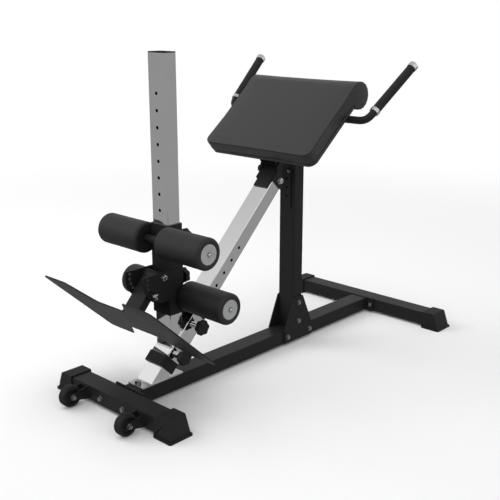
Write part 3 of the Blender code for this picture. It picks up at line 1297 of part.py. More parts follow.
def detent_pin():
    """The pin through the sector plates and under the arm, with a bright turned head."""
    anchor = pivot("detent_pin_slide", PIN_AT, CARRIAGE)
    out = SECTOR_INNER + SECTOR_THICK
    foot, waist, shoulder, crown, top = (out + step for step in DETENT_STEPS)
    tip = out + DETENT_TIP
    profile = [(0.0, top), (DETENT_FACE, crown), (DETENT_HEAD, shoulder), (DETENT_HEAD, waist),
               (DETENT_NECK, foot), (DETENT_NECK, out + GAP), (PIN_RADIUS, out + GAP),
               (PIN_RADIUS, DETENT_CHAMFER * 2 - tip), (PIN_RADIUS - DETENT_CHAMFER, -tip), (0.0, -tip)]
    turned("detent_pin", profile, 16, ZINC, PIN_AT, -Y_AXIS, anchor)


carriage()
foot_arm()
foot_plate()
detent_pin()
SECTOR_OUT = SECTOR_INNER + SECTOR_THICK
bolt("arm_pivot_bolt", PIVOT_AT - Y_AXIS * SECTOR_OUT, -Y_AXIS, 2 * SECTOR_OUT,
     PIVOT_BOLT_RADIUS, PIVOT_BOLT_CORNER, PIVOT_BOLT_HEAD, parent=CARRIAGE)
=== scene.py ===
"""Glute ham developer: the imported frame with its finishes, fastenings and soft pieces."""
import json
from math import cos, exp, pi, radians, sin, tan
import bmesh
import bpy
from mathutils import Matrix, Vector
from mathutils.geometry import interpolate_bezier
from mathutils.kdtree import KDTree


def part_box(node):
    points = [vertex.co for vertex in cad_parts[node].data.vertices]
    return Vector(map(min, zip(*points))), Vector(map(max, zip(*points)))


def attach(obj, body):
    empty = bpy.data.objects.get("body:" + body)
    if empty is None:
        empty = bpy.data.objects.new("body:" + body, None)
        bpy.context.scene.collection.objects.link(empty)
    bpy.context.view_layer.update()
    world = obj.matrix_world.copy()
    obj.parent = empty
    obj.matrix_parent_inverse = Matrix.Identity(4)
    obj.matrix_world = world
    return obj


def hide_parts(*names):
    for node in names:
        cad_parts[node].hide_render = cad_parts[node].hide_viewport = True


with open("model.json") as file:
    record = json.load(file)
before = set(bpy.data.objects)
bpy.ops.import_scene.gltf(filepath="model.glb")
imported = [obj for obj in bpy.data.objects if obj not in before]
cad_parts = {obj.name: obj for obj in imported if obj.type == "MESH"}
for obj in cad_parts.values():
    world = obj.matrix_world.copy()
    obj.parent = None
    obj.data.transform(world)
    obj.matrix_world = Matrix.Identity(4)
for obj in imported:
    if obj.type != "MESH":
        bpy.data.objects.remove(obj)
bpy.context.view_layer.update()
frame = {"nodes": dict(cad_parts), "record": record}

# Camera: the photograph is a three-quarter view from the front foot's side, a little above
# the handles, with a lens about half as long again as a plain one.
AZIMUTH, ELEVATION = radians(-46.9), radians(16.08)
CAMERA_AT = (-2.0226, -1.8763, 1.182)
SENSOR_WIDTH, LENS = 36.0, 59.98        # millimetres
back = Vector((sin(AZIMUTH) * cos(ELEVATION), -cos(AZIMUTH) * cos(ELEVATION), sin(ELEVATION)))
camera = bpy.data.objects.new("camera", bpy.data.cameras.new("camera"))
bpy.context.scene.collection.objects.link(camera)
camera.location = CAMERA_AT
camera.rotation_euler = (-back).to_track_quat("-Z", "Y").to_euler()
camera.data.sensor_width = SENSOR_WIDTH
camera.data.lens = LENS
bpy.context.scene.camera = camera
bpy.context.scene.view_settings.view_transform = "Standard"


# Studio: a pale paper floor that turns to white with distance, a white room, and three soft
# boxes: overhead, high behind on the left, and at the camera's side. What mirrors the room sees a
# grey card on the floor and a greyer panel high up behind, which give the chrome its greys.
def linear(code):
    """An sRGB hex colour as linear red, green, blue and alpha."""
    parts = [int(code[i:i + 2], 16) / 255 for i in (1, 3, 5)]
    return (*(p / 12.92 if p <= 0.04045 else ((p + 0.055) / 1.055) ** 2.4 for p in parts), 1.0)


def add_node(tree, kind, inputs=None, **settings):
    """Adds a shader node, with its settings and with values or links for its inputs."""
    made = tree.nodes.new("ShaderNode" + kind)
    for key, value in settings.items():
        setattr(made, key, value)
    for key, value in (inputs or {}).items():
        if isinstance(value, bpy.types.NodeSocket):
            tree.links.new(value, made.inputs[key])
        else:
            made.inputs[key].default_value = value
    return made


def blank(name):
    """A new material's node tree with only its output."""
    made = bpy.data.materials.new(name)
    made.use_nodes = True
    made.node_tree.nodes.clear()
    return made, made.node_tree


def seen_rays(tree):
    """The light path node, and 1 for the rays that see the background as white."""
    paths = add_node(tree, "LightPath")
    seen = add_node(tree, "Math", {0: paths.outputs["Is Camera Ray"], 1: paths.outputs["Is Glossy Ray"]},
                    operation="MAXIMUM").outputs["Value"]
    seen = add_node(tree, "Math", {0: seen, 1: paths.outputs["Is Transmission Ray"]},
                    operation="MAXIMUM").outputs["Value"]
    return paths, seen


FLOOR_HALF = 80.0               # metres, so wide that its far edge stays low in the chrome
FLOOR_FADE = (1.1, 4.2)         # metres from the middle, where the floor starts and ends to turn white
PAPER_COLOUR, CARD_COLOUR = "#F0F0F0", "#A0A0A0"
paper, tree = blank("seamless studio paper")
place = add_node(tree, "TexCoord").outputs["Object"]
distance = add_node(tree, "VectorMath", {0: place}, operation="LENGTH").outputs["Value"]
fade = add_node(tree, "MapRange",
                {"Value": distance, "From Min": FLOOR_FADE[0], "From Max": FLOOR_FADE[1]},
                interpolation_type="SMOOTHSTEP").outputs["Result"]
paths, seen = seen_rays(tree)
fade = add_node(tree, "Math", {0: fade, 1: seen}, operation="MULTIPLY").outputs["Value"]
matt = add_node(tree, "BsdfDiffuse", {"Color": linear(PAPER_COLOUR), "Roughness": 0.6}).outputs[0]
white = add_node(tree, "Emission", {"Color": (1, 1, 1, 1), "Strength": 1.0}).outputs[0]
surface = add_node(tree, "MixShader", {0: fade, 1: matt, 2: white}).outputs[0]
card = add_node(tree, "Emission", {"Color": linear(CARD_COLOUR), "Strength": 1.0}).outputs[0]
surface = add_node(tree, "MixShader",
                   {0: paths.outputs["Is Glossy Ray"], 1: surface, 2: card}).outputs[0]
add_node(tree, "OutputMaterial", {"Surface": surface})
floor_mesh = bpy.data.meshes.new("floor")
floor_mesh.from_pydata([(x * FLOOR_HALF, y * FLOOR_HALF, 0)
                        for x, y in ((-1, -1), (1, -1), (1, 1), (-1, 1))], [], [(0, 1, 2, 3)])
floor = bpy.data.objects.new("floor", floor_mesh)
floor_mesh.materials.append(paper)
bpy.context.scene.collection.objects.link(floor)

ROOM_LIGHT = 0.62
PANEL_AT = (0.5, 0.3, 0.8)      # the way to the grey panel's middle
PANEL_EDGE = (0.47, 0.66)       # along that way, where its soft edge starts and ends
PANEL_LIGHT = 0.66
world = bpy.data.worlds.new("white room")
bpy.context.scene.world = world
world.use_nodes = True
tree = world.node_tree
tree.nodes.clear()
paths, seen = seen_rays(tree)
strength = add_node(tree, "MapRange",
                    {"Value": seen, "To Min": ROOM_LIGHT, "To Max": 1.0}).outputs["Result"]
way = add_node(tree, "TexCoord").outputs["Generated"]
towards = add_node(tree, "VectorMath", {0: way, 1: PANEL_AT}, operation="DOT_PRODUCT").outputs["Value"]
panel = add_node(tree, "MapRange",
                 {"Value": towards, "From Min": PANEL_EDGE[0], "From Max": PANEL_EDGE[1],
                  "To Min": 1.0, "To Max": PANEL_LIGHT}).outputs["Result"]
strength = add_node(tree, "Mix",
                    {"Factor": paths.outputs["Is Glossy Ray"], "A": strength, "B": panel},
                    data_type="FLOAT").outputs["Result"]
room = add_node(tree, "Background", {"Color": (1, 1, 1, 1), "Strength": strength}).outputs[0]
add_node(tree, "OutputWorld", {"Surface": room})


def soft_box(name, at, towards, size, watts):
    """A square soft box that faces a point. It isn't seen in the chrome, which mirrors the room."""
    lamp = bpy.data.lights.new(name, "AREA")
    lamp.shape = "SQUARE"
    lamp.size = size
    lamp.energy = watts
    holder = bpy.data.objects.new(name, lamp)
    bpy.context.scene.collection.objects.link(holder)
    holder.location = at
    holder.rotation_euler = (Vector(towards) - Vector(at)).to_track_quat("-Z", "Y").to_euler()
    holder.visible_glossy = False


soft_box("overhead_box", at=(-0.3, 0.2, 3.2), towards=(0, 0, 0.3), size=2.6, watts=44)
soft_box("back_left_box", at=(-1.9, 3.4, 3.2), towards=(0, 0, 0.5), size=2.8, watts=95)
soft_box("camera_side_box", at=(-2.6, -2.6, 2.3), towards=(0, 0, 0.5), size=1.6, watts=16)


# Black powder coat: the tubes, plates and brackets of the frame. Polyester powder baked on
# steel: satin black, with a fine orange peel and a slightly uneven gloss.
PEEL_SCALE = 620.0      # bumps 1.6 mm wide, a little coarser than the real 1 mm


def powder_coat(name, colour, roughness):
    """Satin powder coat with its orange peel."""
    made, tree = blank(name)
    place = add_node(tree, "TexCoord").outputs["Object"]
    cloud = add_node(tree, "TexNoise", {"Vector": place, "Scale": 14.0, "Detail": 3.0}).outputs["Fac"]
    gloss = add_node(tree, "MapRange", {"Value": cloud, "From Min": 0.3, "From Max": 0.7,
                                        "To Min": roughness - 0.02, "To Max": roughness + 0.03})
    dark = linear(colour)
    light = tuple(min(1.0, c * 1.18 + 0.001) for c in dark[:3]) + (1.0,)
    tint = add_node(tree, "Mix", {"Factor": cloud, "A": dark, "B": light}, data_type="RGBA")
    peel = add_node(tree, "TexNoise", {"Vector": place, "Scale": PEEL_SCALE, "Detail": 1.5})
    bump = add_node(tree, "Bump", {"Height": peel.outputs["Fac"], "Strength": 0.14, "Distance": 0.0003})
    coat = add_node(tree, "BsdfPrincipled", {"Base Color": tint.outputs["Result"],
                                             "Roughness": gloss.outputs["Result"],
                                             "Normal": bump.outputs["Normal"],
                                             "IOR": 1.5, "Specular IOR Level": 0.12})
    add_node(tree, "OutputMaterial", {"Surface": coat.outputs[0]})
    return made


POWDER = powder_coat("satin black powder coat", "#202021", 0.40)


def finish_node(node, material, edge=0.0008, turn=42.0):
    """Gives a CAD node its finish and softens its edges."""
    shown = frame["nodes"][node]
    mesh = shown.data
    mesh.materials.clear()
    mesh.materials.append(material)
    if "custom_normal" in mesh.attributes:
        mesh.attributes.remove(mesh.attributes["custom_normal"])
    mesh.shade_smooth()
    mesh.set_sharp_from_angle(angle=radians(turn))
    weld = shown.modifiers.new("weld", "WELD")
    weld.merge_threshold = 0.00002
    flats = shown.modifiers.new("whole flats", "DECIMATE")
    flats.decimate_type = "DISSOLVE"
    flats.angle_limit = radians(0.5)
    if edge:
        rounds = shown.modifiers.new("edges", "BEVEL")
        rounds.width = edge
        rounds.segments = 2
        rounds.limit_method = "ANGLE"
        rounds.angle_limit = radians(turn)
    level = shown.modifiers.new("flat faces", "WEIGHTED_NORMAL")
    level.keep_sharp = True
    level.weight = 100
    return shown


for node in ("front_foot_beam", "rear_foot_beam", "main_rail", "upright_post", "hole_strip",
             "gusset_left", "gusset_right", "top_bracket", "pad_frame", "carriage_sleeve",
             "foot_arm", "foot_plate"):
    finish_node(node, POWDER)


# Bright tubes: the sloping beam, its base plate, the slider's sleeve and the roller column.
# Bright chrome on drawn steel: a mirror with faint drawing lines along each tube. The bores aren't
# plated, and they and the holes' walls are coloured near black as painted shade, so that the holes look
# black.
X_AXIS, Y_AXIS, Z_AXIS = Vector((1, 0, 0)), Vector((0, 1, 0)), Vector((0, 0, 1))
SLOPE = Vector((1, 0, 1))
DRAWN_SCALE = (900.0, 900.0, 9.0)       # lines about 1 mm apart and 100 mm long


def bright_chrome(name, along, colours=("#DDDEDE", "#E6E6E5"), smooth=0.045):
    """Bright chrome whose drawing lines run along a direction in the XZ plane."""
    made, tree = blank(name)
    place = add_node(tree, "TexCoord").outputs["Object"]
    turn = (0.0, -(pi / 2 - Vector((1.0, 0.0)).angle(Vector(along))), 0.0)
    lined = add_node(tree, "Mapping", {"Vector": place, "Rotation": turn}, vector_type="TEXTURE")
    stretched = add_node(tree, "VectorMath", {0: lined.outputs[0], 1: DRAWN_SCALE},
                         operation="MULTIPLY").outputs["Vector"]
    lines = add_node(tree, "TexNoise", {"Vector": stretched, "Scale": 1.0, "Detail": 2.0}).outputs["Fac"]
    cloud = add_node(tree, "TexNoise", {"Vector": place, "Scale": 9.0, "Detail": 2.0}).outputs["Fac"]
    gloss = add_node(tree, "MapRange", {"Value": lines, "From Min": 0.3, "From Max": 0.7,
                                        "To Min": smooth, "To Max": smooth + 0.04})
    tint = add_node(tree, "Mix", {"Factor": cloud, "A": linear(colours[0]), "B": linear(colours[1])},
                    data_type="RGBA")
    bump = add_node(tree, "Bump", {"Height": lines, "Strength": 0.03, "Distance": 0.0001})
    plate = add_node(tree, "BsdfPrincipled", {"Base Color": tint.outputs["Result"], "Metallic": 1.0,
                                              "Roughness": gloss.outputs["Result"],
                                              "Normal": bump.outputs["Normal"]})
    add_node(tree, "OutputMaterial", {"Surface": plate.outputs[0]})
    return made


# The bore's near-black colour is painted shade inside the tubes and their holes.
BORE_PAINTED_SHADE = powder_coat("satin black bore of the bright tubes, painted shade", "#060606", 0.75)
HALF_DEEP, HALF_WIDE = 0.025, 0.035     # half of the 50 x 70 mm tube
BEAM_FOOT, COLUMN_FOOT = Vector((-0.47375, 0.0, 0.059)), Vector((-0.392, 0.0, 0.059))


def paint_shade_inside(node, at, along):
    """Gives a tube's inner walls and its holes' walls a near-black colour: painted shade in the bore and
    the holes.
    """
    shown = frame["nodes"][node]
    shown.data.materials.append(BORE_PAINTED_SHADE)
    across = along.cross(Y_AXIS).normalized()
    plated = 0.0008
    for face in shown.data.polygons:
        off = shown.matrix_world @ face.center - at
        if abs(off.dot(across)) < HALF_DEEP - plated and abs(off.y) < HALF_WIDE - plated:
            face.material_index = 1


CHROME_SLOPE = bright_chrome("bright chrome on the sloping tubes", (1.0, 1.0))
CHROME_UPRIGHT = bright_chrome("bright chrome on the roller column", (0.0, 1.0))
CHROME_PLATE = bright_chrome("bright chrome on the rolled base plate", (1.0, 0.0),
                             colours=("#B4B4B4", "#C6C6C5"), smooth=0.16)
finish_node("beam_base_plate", CHROME_PLATE, edge=0.0006)
finish_node("slider_sleeve", CHROME_SLOPE, edge=0.0006)
finish_node("sloping_beam", CHROME_SLOPE, edge=0.0004)
finish_node("roller_column", CHROME_UPRIGHT, edge=0.0004)
paint_shade_inside("sloping_beam", BEAM_FOOT, SLOPE)
paint_shade_inside("roller_column", COLUMN_FOOT, Z_AXIS)


# Rubber and nylon: each foot cap is moulded in one piece, with a lip that spreads on the floor.
# The slider's two rings and the column's cap are nylon. All have a fine spark-eroded grain.
def moulded(name, colour, roughness, grain, depth):
    """Moulded rubber or plastic with a grain of a given size and depth in metres."""
    made, tree = blank(name)
    place = add_node(tree, "TexCoord").outputs["Object"]
    cloud = add_node(tree, "TexNoise", {"Vector": place, "Scale": 22.0, "Detail": 2.0}).outputs["Fac"]
    dark = linear(colour)
    light = tuple(min(1.0, c * 1.3 + 0.002) for c in dark[:3]) + (1.0,)
    tint = add_node(tree, "Mix", {"Factor": cloud, "A": dark, "B": light}, data_type="RGBA")
    fine = add_node(tree, "TexVoronoi", {"Vector": place, "Scale": 1.0 / grain}).outputs["Distance"]
    bump = add_node(tree, "Bump", {"Height": fine, "Strength": 0.3, "Distance": depth})
    gloss = add_node(tree, "MapRange", {"Value": cloud, "To Min": roughness - 0.06,
                                        "To Max": roughness + 0.06})
    body = add_node(tree, "BsdfPrincipled", {"Base Color": tint.outputs["Result"],
                                             "Roughness": gloss.outputs["Result"],
                                             "Normal": bump.outputs["Normal"],
                                             "IOR": 1.5, "Specular IOR Level": 0.18})
    add_node(tree, "OutputMaterial", {"Surface": body.outputs[0]})
    return made


RUBBER = moulded("moulded black rubber", "#1C1C1C", roughness=0.62, grain=0.0012, depth=0.0003)
NYLON = moulded("moulded black nylon", "#191919", roughness=0.45, grain=0.0010, depth=0.0002)
MATT_NYLON = moulded("moulded black nylon, matt", "#0A0A0A", roughness=0.95, grain=0.0010, depth=0.0002)
for node in ("front_foot_cap_left", "front_foot_cap_right", "rear_foot_cap_left", "rear_foot_cap_right"):
    finish_node(node, RUBBER, edge=0.0010, turn=25.0)
for node in ("slider_ring_low", "slider_ring_high"):
    finish_node(node, NYLON, edge=0.0012)
finish_node("column_cap", MATT_NYLON, edge=0.0003)


# Pieces made in code. Each is a skin over rings of points about its own Z or along a path. It
# rides on the body of the CAD node whose place or side it takes.
BODIES = frame["record"]["behaviour"]["bodies"]
BODY_OF = {node: body for body, nodes in BODIES.items() for node in nodes}


def skin(bm, rings, loop=False):
    """Joins rings of points with faces. The ends are closed, or the last joins the first."""
    made = [[bm.verts.new(point) for point in ring] for ring in rings]
    for a, b in zip(made, made[1:] + made[:1] if loop else made[1:]):
        for i in range(len(a)):
            j = (i + 1) % len(a)
            bm.faces.new((a[i], a[j], b[j], b[i]))
    if not loop:
        bm.faces.new(list(reversed(made[0])))
        bm.faces.new(made[-1])


def turned(profile, count=40):
    """Rings about Z from (radius, height) pairs."""
    angles = [2 * pi * k / count for k in range(count)]
    return [[(r * cos(a), r * sin(a), z) for a in angles] for r, z in profile]


def sweep(path, radii, count=12):
    """Rings along a path of points, each with its own radius."""
    rings = []
    side = None
    for i, here in enumerate(path):
        way = (path[min(i + 1, len(path) - 1)] - path[max(i - 1, 0)]).normalized()
        side = side or way.cross(Z_AXIS if abs(way.z) < 0.9 else X_AXIS)
        side = (side - way * side.dot(way)).normalized()
        up = way.cross(side)
        rings.append([here + (side * cos(a) + up * sin(a)) * radii[i]
                      for a in (2 * pi * k / count for k in range(count))])
    return rings


def add_piece(name, bm, material, node, at=(0, 0, 0), along=(0, 0, 1), hides=True, crease=32.0):
    """A piece from a bmesh. It takes a node's body, and its place where hides is true."""
    bmesh.ops.recalc_face_normals(bm, faces=bm.faces)
    mesh = bpy.data.meshes.new(name)
    bm.to_mesh(mesh)
    bm.free()
    mesh.shade_smooth()
    mesh.set_sharp_from_angle(angle=radians(crease))
    mesh.materials.append(material)
    made = bpy.data.objects.new(name, mesh)
    bpy.context.scene.collection.objects.link(made)
    made.location = at
    made.rotation_euler = Z_AXIS.rotation_difference(Vector(along)).to_euler()
    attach(made, BODY_OF[node])
    if hides:
        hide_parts(node)
    return made


# Zinc: bright passivated plating on every bolt, nut, pin and collar. It is a soft mirror with
# cloudy spots, and faint turning marks.
def zinc_plate(name, roughness, dull, bright):
    """Zinc plating whose cloudy spots run from a duller to a brighter colour."""
    made, tree = blank(name)
    place = add_node(tree, "TexCoord").outputs["Object"]
    cloud = add_node(tree, "TexNoise", {"Vector": place, "Scale": 160.0, "Detail": 3.0}).outputs["Fac"]
    tint = add_node(tree, "Mix", {"Factor": cloud, "A": linear(dull), "B": linear(bright)},
                    data_type="RGBA")
    gloss = add_node(tree, "MapRange", {"Value": cloud, "From Min": 0.35, "From Max": 0.65,
                                        "To Min": roughness - 0.05, "To Max": roughness + 0.07})
    marks = add_node(tree, "TexNoise", {"Vector": place, "Scale": 1500.0, "Detail": 1.0}).outputs["Fac"]
    bump = add_node(tree, "Bump", {"Height": marks, "Strength": 0.15, "Distance": 0.0001})
    plate = add_node(tree, "BsdfPrincipled", {"Base Color": tint.outputs["Result"], "Metallic": 1.0,
                                              "Roughness": gloss.outputs["Result"],
                                              "Normal": bump.outputs["Normal"]})
    add_node(tree, "OutputMaterial", {"Surface": plate.outputs[0]})
    return made


ZINC = zinc_plate("bright zinc plating", roughness=0.17, dull="#BABAB8", bright="#DFDFDE")

# Bolts: thirteen hexagon bolts with washers, and lock nuts with a nylon ring and two threads
# beyond it. Heads are chamfered to a round face with a shallow dish. Most have a darker zinc colour,
# which is painted shade standing for the dark reflections in them, and only the bracket's cross bolt and
# the foot arm's pivot bolt keep the bright zinc.
# This zinc's darker colour is painted shade, standing for the dark reflections in the bolts.
ZINC_PAINTED_DARK = zinc_plate("bright zinc plating, darkened as painted reflection", roughness=0.24, dull="#7E7E7C", bright="#ABABA9")
FIT_GAP = 0.0003        # between a washer and the plate under it


def hexagon(corner, low, high, low_cut=False, count=36):
    """Rings of a hexagon prism whose upper corners, and lower ones if asked, are turned off."""
    flat = corner * cos(pi / 6)
    face = flat * 0.96
    angles = [2 * pi * k / count for k in range(count)]
    reach = [flat / cos((a + pi / 6) % (pi / 3) - pi / 6) for a in angles]
    drop = [max(0.0, r - face) * tan(radians(30)) for r in reach]
    rings = []
    if low_cut:
        rings += [turned([(face, low)], count)[0],
                  [(r * cos(a), r * sin(a), low + d) for a, r, d in zip(angles, reach, drop)]]
    else:
        rings += [[(r * cos(a), r * sin(a), low) for a, r in zip(angles, reach)]]
    rings += [[(r * cos(a), r * sin(a), high - d) for a, r, d in zip(angles, reach, drop)],
              turned([(face, high)], count)[0]]
    return rings


def hexagon_bolt(node, outward, head, nut=True, smaller=0.86, plating=ZINC_PAINTED_DARK):
    """Head, washers, nut and thread end in the box of a CAD bolt, its head at the outward end."""
    low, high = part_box(node)
    axis = max(range(3), key=lambda i: abs(outward[i]))
    length = high[axis] - low[axis] - head - FIT_GAP
    corner = max(high[i] - low[i] for i in range(3) if i != axis) / 2 * smaller
    at = (low + high) / 2
    at[axis] = (low[axis] + head + FIT_GAP) if outward[axis] < 0 else (high[axis] - head - FIT_GAP)
    washer, rim, edge = head * 0.20, corner * 1.10, 0.0003
    shank, chamfer, pitch = corner * 0.5, 0.0006, 0.00125
    top, dish, end = FIT_GAP + head, 0.0004, -length
    bm = bmesh.new()
    skin(bm, turned([(rim - edge, FIT_GAP), (rim, FIT_GAP + edge), (rim, FIT_GAP + washer - edge),
                     (rim - edge, FIT_GAP + washer)]))
    skin(bm, hexagon(corner, FIT_GAP + washer, top)
         + turned([(corner * 0.6, top), (corner * 0.55, top - dish)], 36))
    skin(bm, turned([(shank - chamfer, end), (shank, end + chamfer), (shank, 0.0)], 20))
    if nut:
        start = FIT_GAP + head * 1.35 - length      # the plate's far side, where the nut's washer lies
        body = start - washer - head * 0.62         # where the hexagon turns into the nylon's ring
        last = start - head
        skin(bm, turned([(rim - edge, start), (rim, start - edge), (rim, start - washer + edge),
                         (rim - edge, start - washer)]))
        skin(bm, list(reversed(hexagon(corner, body, start - washer, low_cut=True))))
        ring, ring_round = corner * cos(pi / 6) * 0.86, 0.0010
        skin(bm, turned([(ring, body), (ring, last + ring_round), (ring - ring_round, last),
                         (shank, last)]))
        tip = [(shank, last + pitch / 2)]
        while tip[-1][1] - pitch > end:
            z = tip[-1][1]
            tip += [(shank - chamfer, z - pitch / 2), (shank, z - pitch)]
        skin(bm, turned(tip, 20))
    add_piece(node + "_dressed", bm, plating, node, at, outward)


for side in ("left", "right"):
    hexagon_bolt("front_flange_bolt_" + side, -X_AXIS, head=0.0065)
    hexagon_bolt("rear_flange_bolt_" + side, X_AXIS, head=0.0065)
    hexagon_bolt("wheel_bolt_" + side, -Y_AXIS, head=0.0065, smaller=0.82)
for spot in ("front", "rear", "low", "high"):
    hexagon_bolt("gusset_bolt_" + spot, -Y_AXIS, head=0.0065)
hexagon_bolt("base_plate_bolt", Z_AXIS, head=0.010, nut=False)
hexagon_bolt("bracket_cross_bolt", -Y_AXIS, head=0.008, plating=ZINC)
hexagon_bolt("arm_pivot_bolt", -Y_AXIS, head=0.0075, plating=ZINC)


# Weld beads: the rail's flanges, the wheel forks, the beam's foot, the column's foot, the axles,
# the sector plates, the foot plate and the upright's top. Each is a row of overlapping ripples.
def weld_bead(name, points, material, node, thick=0.0024):
    """A rippled bead along a line of points."""
    step, ripple_long = 0.0008, 0.0026
    points = [Vector(point) for point in points]
    path = []
    for a, b in zip(points, points[1:]):
        count = max(1, round((b - a).length / step))
        path += [a.lerp(b, k / count) for k in range(count)]
    path.append(points[-1])
    radii = []
    for i in range(len(path)):
        ripple = 0.94 + 0.13 * abs(sin(pi * i * step / ripple_long)) + 0.04 * sin(i * 0.37)
        taper = min(1.0, min(i, len(path) - 1 - i) * step / thick + 0.35)
        radii.append(thick * ripple * taper)
    bm = bmesh.new()
    skin(bm, sweep(path, radii, 8))
    add_piece(name, bm, material, node, hides=False, crease=60.0)


RAIL_FACE, RAIL_LOW, RAIL_HIGH, RAIL_ROUND = 0.035, 0.013, 0.059, 0.003
FORK_X, FORK_LOW, FORK_HIGH = -0.632, 0.016, 0.054
WHEEL_Y, FORK_SIDE = 0.136, 0.0182      # a wheel's middle, and the beads on both sides of it
SIDES = (("left", 1), ("right", -1))
# Beads on both sides: name, distance from the middle, x and z of both ends, metal, node, radius.
SIDE_BEADS = (
    ("beam_foot_weld_", 0.0355, (-0.500, 0.0650), (-0.437, 0.0650),
     CHROME_SLOPE, "beam_base_plate", 0.0019),
    ("column_foot_weld_", 0.0355, (-0.414, 0.1624), (-0.370, 0.2064),
     CHROME_UPRIGHT, "slider_sleeve", 0.0020),
    ("sector_weld_", 0.0412, (-0.4045, 0.330), (-0.4045, 0.414), POWDER, "carriage_sleeve", 0.0020),
    ("upright_top_weld_", 0.0352, (0.1775, 0.7580), (0.2216, 0.7944), POWDER, "upright_post", 0.0019))
# Beads across: name, x and z, half the length, metal, node, radius.
CROSS_BEADS = (
    ("beam_foot_weld_front", (-0.5043, 0.0652), 0.031, CHROME_SLOPE, "beam_base_plate", 0.0019),
    ("beam_foot_weld_rear", (-0.4325, 0.0652), 0.031, CHROME_SLOPE, "beam_base_plate", 0.0019),
    ("column_foot_weld_front", (-0.4176, 0.1592), 0.031, CHROME_UPRIGHT, "slider_sleeve", 0.0020),
    ("upper_axle_weld_top", (-0.4232, 0.5175), 0.034, POWDER, "upper_axle", 0.0022),
    ("upper_axle_weld_under", (-0.4232, 0.5005), 0.034, POWDER, "upper_axle", 0.0022),
    ("lower_axle_weld_top", (-0.3608, 0.3275), 0.034, POWDER, "lower_axle", 0.0022),
    ("lower_axle_weld_under", (-0.3608, 0.3105), 0.034, POWDER, "lower_axle", 0.0022))
for end, x in (("front", -0.5557), ("rear", 0.6347)):
    weld_bead(end + "_flange_weld",
              [(x, -RAIL_FACE, RAIL_LOW), (x, -RAIL_FACE, RAIL_HIGH - RAIL_ROUND),
               (x, -RAIL_FACE + RAIL_ROUND, RAIL_HIGH), (x, RAIL_FACE - RAIL_ROUND, RAIL_HIGH),
               (x, RAIL_FACE, RAIL_HIGH - RAIL_ROUND), (x, RAIL_FACE, RAIL_LOW)], POWDER, "main_rail")
for side_name, side in SIDES:
    for edge_name, edge in (("inner", -FORK_SIDE), ("outer", FORK_SIDE)):
        y = side * (WHEEL_Y + edge)
        weld_bead("fork_weld_%s_%s" % (side_name, edge_name),
                  [(FORK_X, y, FORK_LOW), (FORK_X, y, FORK_HIGH)], POWDER, "front_foot_beam", 0.0018)
    for name, off, start, end, metal, node, thick in SIDE_BEADS:
        weld_bead(name + side_name, [(x, side * off, z) for x, z in (start, end)], metal, node, thick)
for name, (x, z), half, metal, node, thick in CROSS_BEADS:
    weld_bead(name, [(x, -half, z), (x, half, z)], metal, node, thick)


# The arm's end is welded all round to the foot plate, and the handle tube to the pad frame's side.
PIVOT = Vector((-0.447, 0.0, 0.401))
ARM_TURN, ARM_LONG = radians(227.5), 0.1535
ARM_WAY = Vector((cos(ARM_TURN), 0.0, sin(ARM_TURN)))
ARM_UP = Vector((-ARM_WAY.z, 0.0, ARM_WAY.x))
# Half of the arm's section, up and across, with its corners cut.
ring = [(0.0145, -0.030), (0.0145, 0.030), (0.0125, 0.0325), (-0.0125, 0.0325), (-0.0145, 0.030),
        (-0.0145, -0.030), (-0.0125, -0.0325), (0.0125, -0.0325), (0.0145, -0.030)]
weld_bead("foot_plate_weld", [PIVOT + ARM_WAY * ARM_LONG + ARM_UP * up + Y_AXIS * y for up, y in ring],
          POWDER, "foot_plate", 0.0021)
PAD_AT, PAD_TURN = (0.054, 0.0, 0.687), radians(39.57)
PAD_PLACE = Matrix.Translation(PAD_AT) @ Matrix.Rotation(-PAD_TURN, 4, "Y")
HANDLE_ALONG, HANDLE_UP = 0.221, 0.0082     # the handle tube's middle line on the pad's slope
FRAME_SIDE, BEAD_RADIUS = 0.0356, 0.0131


def on_pad(along, up, y=0.0):
    """A point given along the pad's slope, square to it and across."""
    return PAD_PLACE @ Vector((along, y, up))


for side_name, side in SIDES:
    weld_bead("handle_weld_" + side_name,
              [on_pad(HANDLE_ALONG + BEAD_RADIUS * cos(a), HANDLE_UP + BEAD_RADIUS * sin(a),
                      side * FRAME_SIDE)
               for a in (pi * 0.62 + 2 * pi * k / 24 * 0.76 for k in range(25))],
              POWDER, "pad_frame", 0.0021)


# Transport wheels: a solid rubber tyre moulded on a nylon hub with a recessed web and a boss.
def around(bm, profile, count):
    """A ring of material about Z, from a closed profile."""
    skin(bm, turned(profile, count), loop=True)


def both_sides(profile):
    """A profile and its mirror image across Z = 0."""
    return profile + [(r, -z) for r, z in reversed(profile)]


WHEEL_X, WHEEL_Z = -0.687, 0.036
TYRE = both_sides([(0.0246, -0.0122), (0.0262, -0.0136), (0.0290, -0.0140), (0.0318, -0.0132),
                   (0.0335, -0.0112), (0.0340, -0.0085), (0.0340, -0.0020), (0.0334, -0.0012)])
HUB = both_sides([(0.0056, -0.0132), (0.0100, -0.0132), (0.0108, -0.0124), (0.0112, -0.0090),
                  (0.0120, -0.0082), (0.0222, -0.0082), (0.0230, -0.0090), (0.0234, -0.0128),
                  (0.0248, -0.0130)])
for side_name, side in SIDES:
    node = "transport_wheel_" + side_name
    at = (WHEEL_X, side * WHEEL_Y, WHEEL_Z)
    bm = bmesh.new()
    around(bm, TYRE, 64)
    add_piece(node + "_tyre", bm, RUBBER, node, at, Y_AXIS)
    bm = bmesh.new()
    around(bm, HUB, 48)
    add_piece(node + "_hub", bm, NYLON, node, at, Y_AXIS, hides=False)


